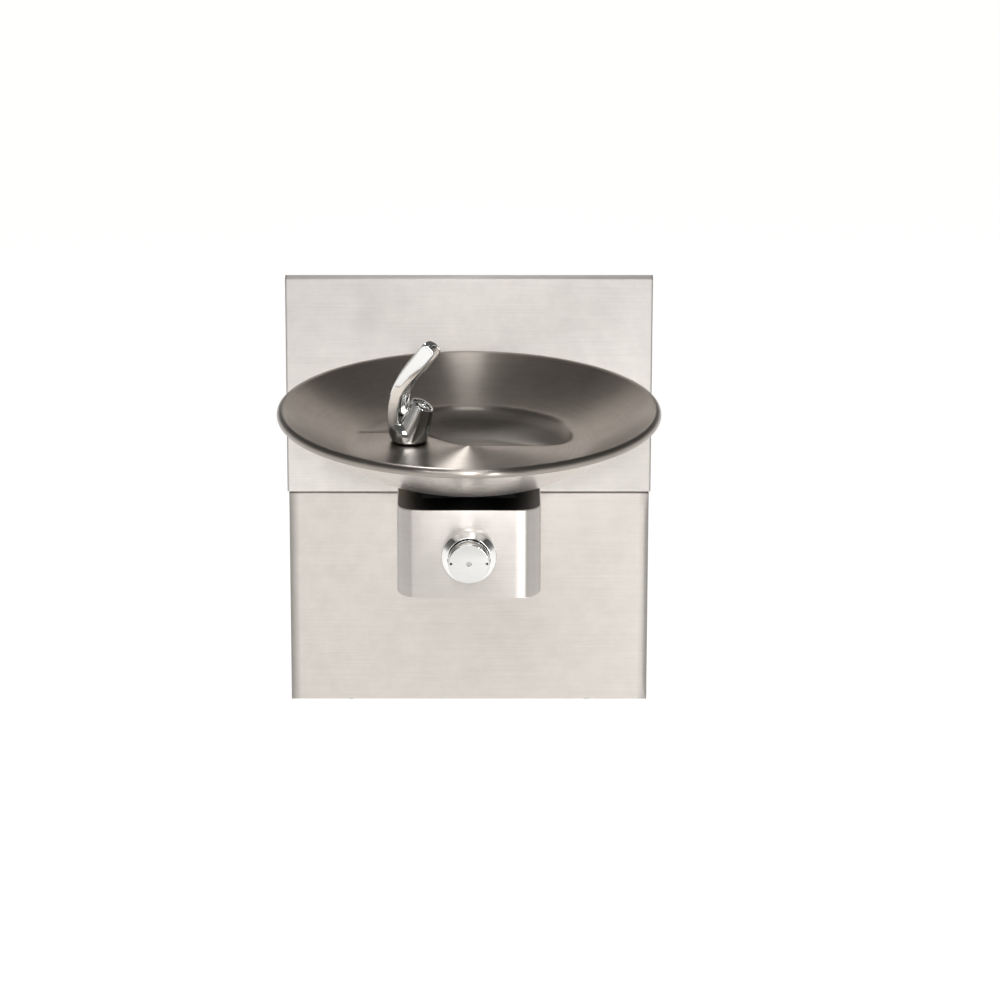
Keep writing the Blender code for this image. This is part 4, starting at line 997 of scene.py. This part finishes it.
def round_off(node):
    """Shade the flat-sided walls of a pipe as one round surface, with sharp rims at its ends."""
    weld = node.modifiers.new("weld", "WELD")
    weld.merge_threshold = 0.00001
    rims = node.modifiers.new("rims", "EDGE_SPLIT")
    rims.split_angle = math.radians(60.0)


def finish_cad_nodes():
    """Every CAD node that still shows gets its procedural finish and smooth shading."""
    slots = {row["node"]: row["material_slot"] for row in frame["record"]["subparts"]}
    for name, node in frame["nodes"].items():
        if node.hide_render:
            continue
        node.data.materials.clear()
        # The saddle sits in shade under the bowl, so it gets painted shade in place of its zinc
        # finish.
        finish = SADDLE_SHADE if name == "bowl_saddle" else CAD_FINISHES[slots[name]]
        node.data.materials.append(finish)
        node.data.shade_smooth()
        if name in ROUND_PIPES:
            round_off(node)
        else:
            node.data.set_sharp_from_angle(angle=math.radians(32.0))


# ---- studio -------------------------------------------------------------------------------------

# How bright the surroundings are, by the height of the direction looked in.
SKY_LEVELS = ((0.0, 0.95), (0.10, 0.50), (0.20, 0.24), (0.34, 0.13), (0.6, 0.09))

CAMERA_AIM = Vector((0.0, -0.018, -0.0025))
CAMERA_DISTANCE = 6.3647
CAMERA_PITCH = math.radians(19.215)
CAMERA_LENS = 181.9332
CAMERA_SHIFT = (0.03099, -0.00793)


def studio():
    """Bright pale floor, dark flags at the sides, four soft boxes and a spot for the panel."""
    glowing_card("studio_floor", (60.0, 60.0), (0.0, 0.0, -0.85), UP, 1.0)
    for name, side in (("flag_left", -1), ("flag_right", 1)):
        flag = glowing_card(name, (0.30, 3.0), (side * 1.45, -3.0, 0.0), (-side * 0.4, 1.0, 0.0),
                            0.05)
        flag.visible_camera = False
    soft_box("overhead", (0.05, -1.1, 3.0), (0.0, -0.25, 0.1), 0.70, 0.45, 9.0)
    soft_box("front", (-0.6, -3.6, 2.2), (0.0, -0.2, 0.1), 2.4, 1.0, 34.0)
    soft_box("rear", (-0.16, 1.6, 2.0), (0.0, -0.35, 0.1), 0.20, 0.4, 9.0)
    soft_box("strip", (0.80, -3.4, -0.1), (0.0, -0.3, 0.0), 0.12, 1.4, 13.0)
    panel_spot()
    sky()


def sky():
    """Surroundings that are pale at the horizon and dim overhead."""
    world = bpy.data.worlds.new("studio")
    bpy.context.scene.world = world
    world.use_nodes = True
    tree = world.node_tree
    direction = tree.nodes.new("ShaderNodeTexCoord").outputs["Generated"]
    height = tree.nodes.new("ShaderNodeSeparateXYZ")
    tree.links.new(direction, height.inputs[0])
    ramp = tree.nodes.new("ShaderNodeValToRGB")
    tree.links.new(height.outputs["Z"], ramp.inputs[0])
    elements = ramp.color_ramp.elements
    while len(elements) < len(SKY_LEVELS):
        elements.new(0.5)
    for element, (position, level) in zip(elements, SKY_LEVELS):
        element.position = position
        element.color = (level, level * 0.985, level * 0.965, 1.0)
    tree.links.new(ramp.outputs["Color"], tree.nodes["Background"].inputs["Color"])
    tree.nodes["Background"].inputs["Strength"].default_value = 1.0


def glowing_card(name, size, place, facing, glow):
    """Plain card that gives off a soft even glow."""
    bm = bmesh.new()
    bmesh.ops.create_grid(bm, x_segments=1, y_segments=1, size=0.5)
    bm.transform(place_along(facing, place) @ Matrix.Diagonal((*size, 1.0, 1.0)))
    card = solid_object(name, bm)
    shader = Shader(name)
    shader.surface.inputs["Base Color"].default_value = (glow * 0.5, glow * 0.5, glow * 0.5, 1.0)
    shader.surface.inputs["Roughness"].default_value = 0.9
    shader.surface.inputs["Specular IOR Level"].default_value = 0.0
    shader.surface.inputs["Emission Color"].default_value = (1.0, 0.99, 0.975, 1.0)
    shader.surface.inputs["Emission Strength"].default_value = glow * 0.95
    card.data.materials.append(shader.material)
    return card


def aim_light(data, place, target):
    """Put a light into the scene and point it at a target."""
    light = bpy.data.objects.new(data.name, data)
    bpy.context.scene.collection.objects.link(light)
    light.location = place
    light.rotation_euler = (Vector(target) - Vector(place)).to_track_quat("-Z", "Y").to_euler()


def soft_box(name, place, target, width, height, power):
    """Rectangular area light."""
    data = bpy.data.lights.new(name, "AREA")
    data.shape = "RECTANGLE"
    data.size = width
    data.size_y = height
    data.energy = power
    aim_light(data, place, target)


def panel_spot():
    """Narrow soft spot on the panel above the bowl, where the bowl keeps off the floor's light."""
    data = bpy.data.lights.new("panel_spot", "SPOT")
    data.energy = 190.0
    data.spot_size = math.radians(8.0)
    data.spot_blend = 1.0
    data.shadow_soft_size = 0.12
    aim_light(data, (0.0, -3.2, 1.30), (0.0, 0.0, 0.150))


def camera():
    """Camera in front of the bowl, looking down on it; its shift places the object in the frame."""
    forward = Vector((0.0, math.cos(CAMERA_PITCH), -math.sin(CAMERA_PITCH)))
    data = bpy.data.cameras.new("camera")
    data.sensor_width = 36.0
    data.lens = CAMERA_LENS
    data.shift_x, data.shift_y = CAMERA_SHIFT
    data.clip_end = 100.0
    made = bpy.data.objects.new("camera", data)
    bpy.context.scene.collection.objects.link(made)
    made.location = CAMERA_AIM - forward * CAMERA_DISTANCE
    made.rotation_euler = (math.pi / 2 - CAMERA_PITCH, 0.0, 0.0)
    bpy.context.scene.camera = made


bowl_basin()
bowl_shell()
upper_panel()
lower_panel()
arm_shell()
bubbler_body()
bubbler_nozzle()
escutcheon()
push_button()
finish_cad_nodes()
studio()
camera()
bpy.context.scene.view_settings.view_transform = "Standard"
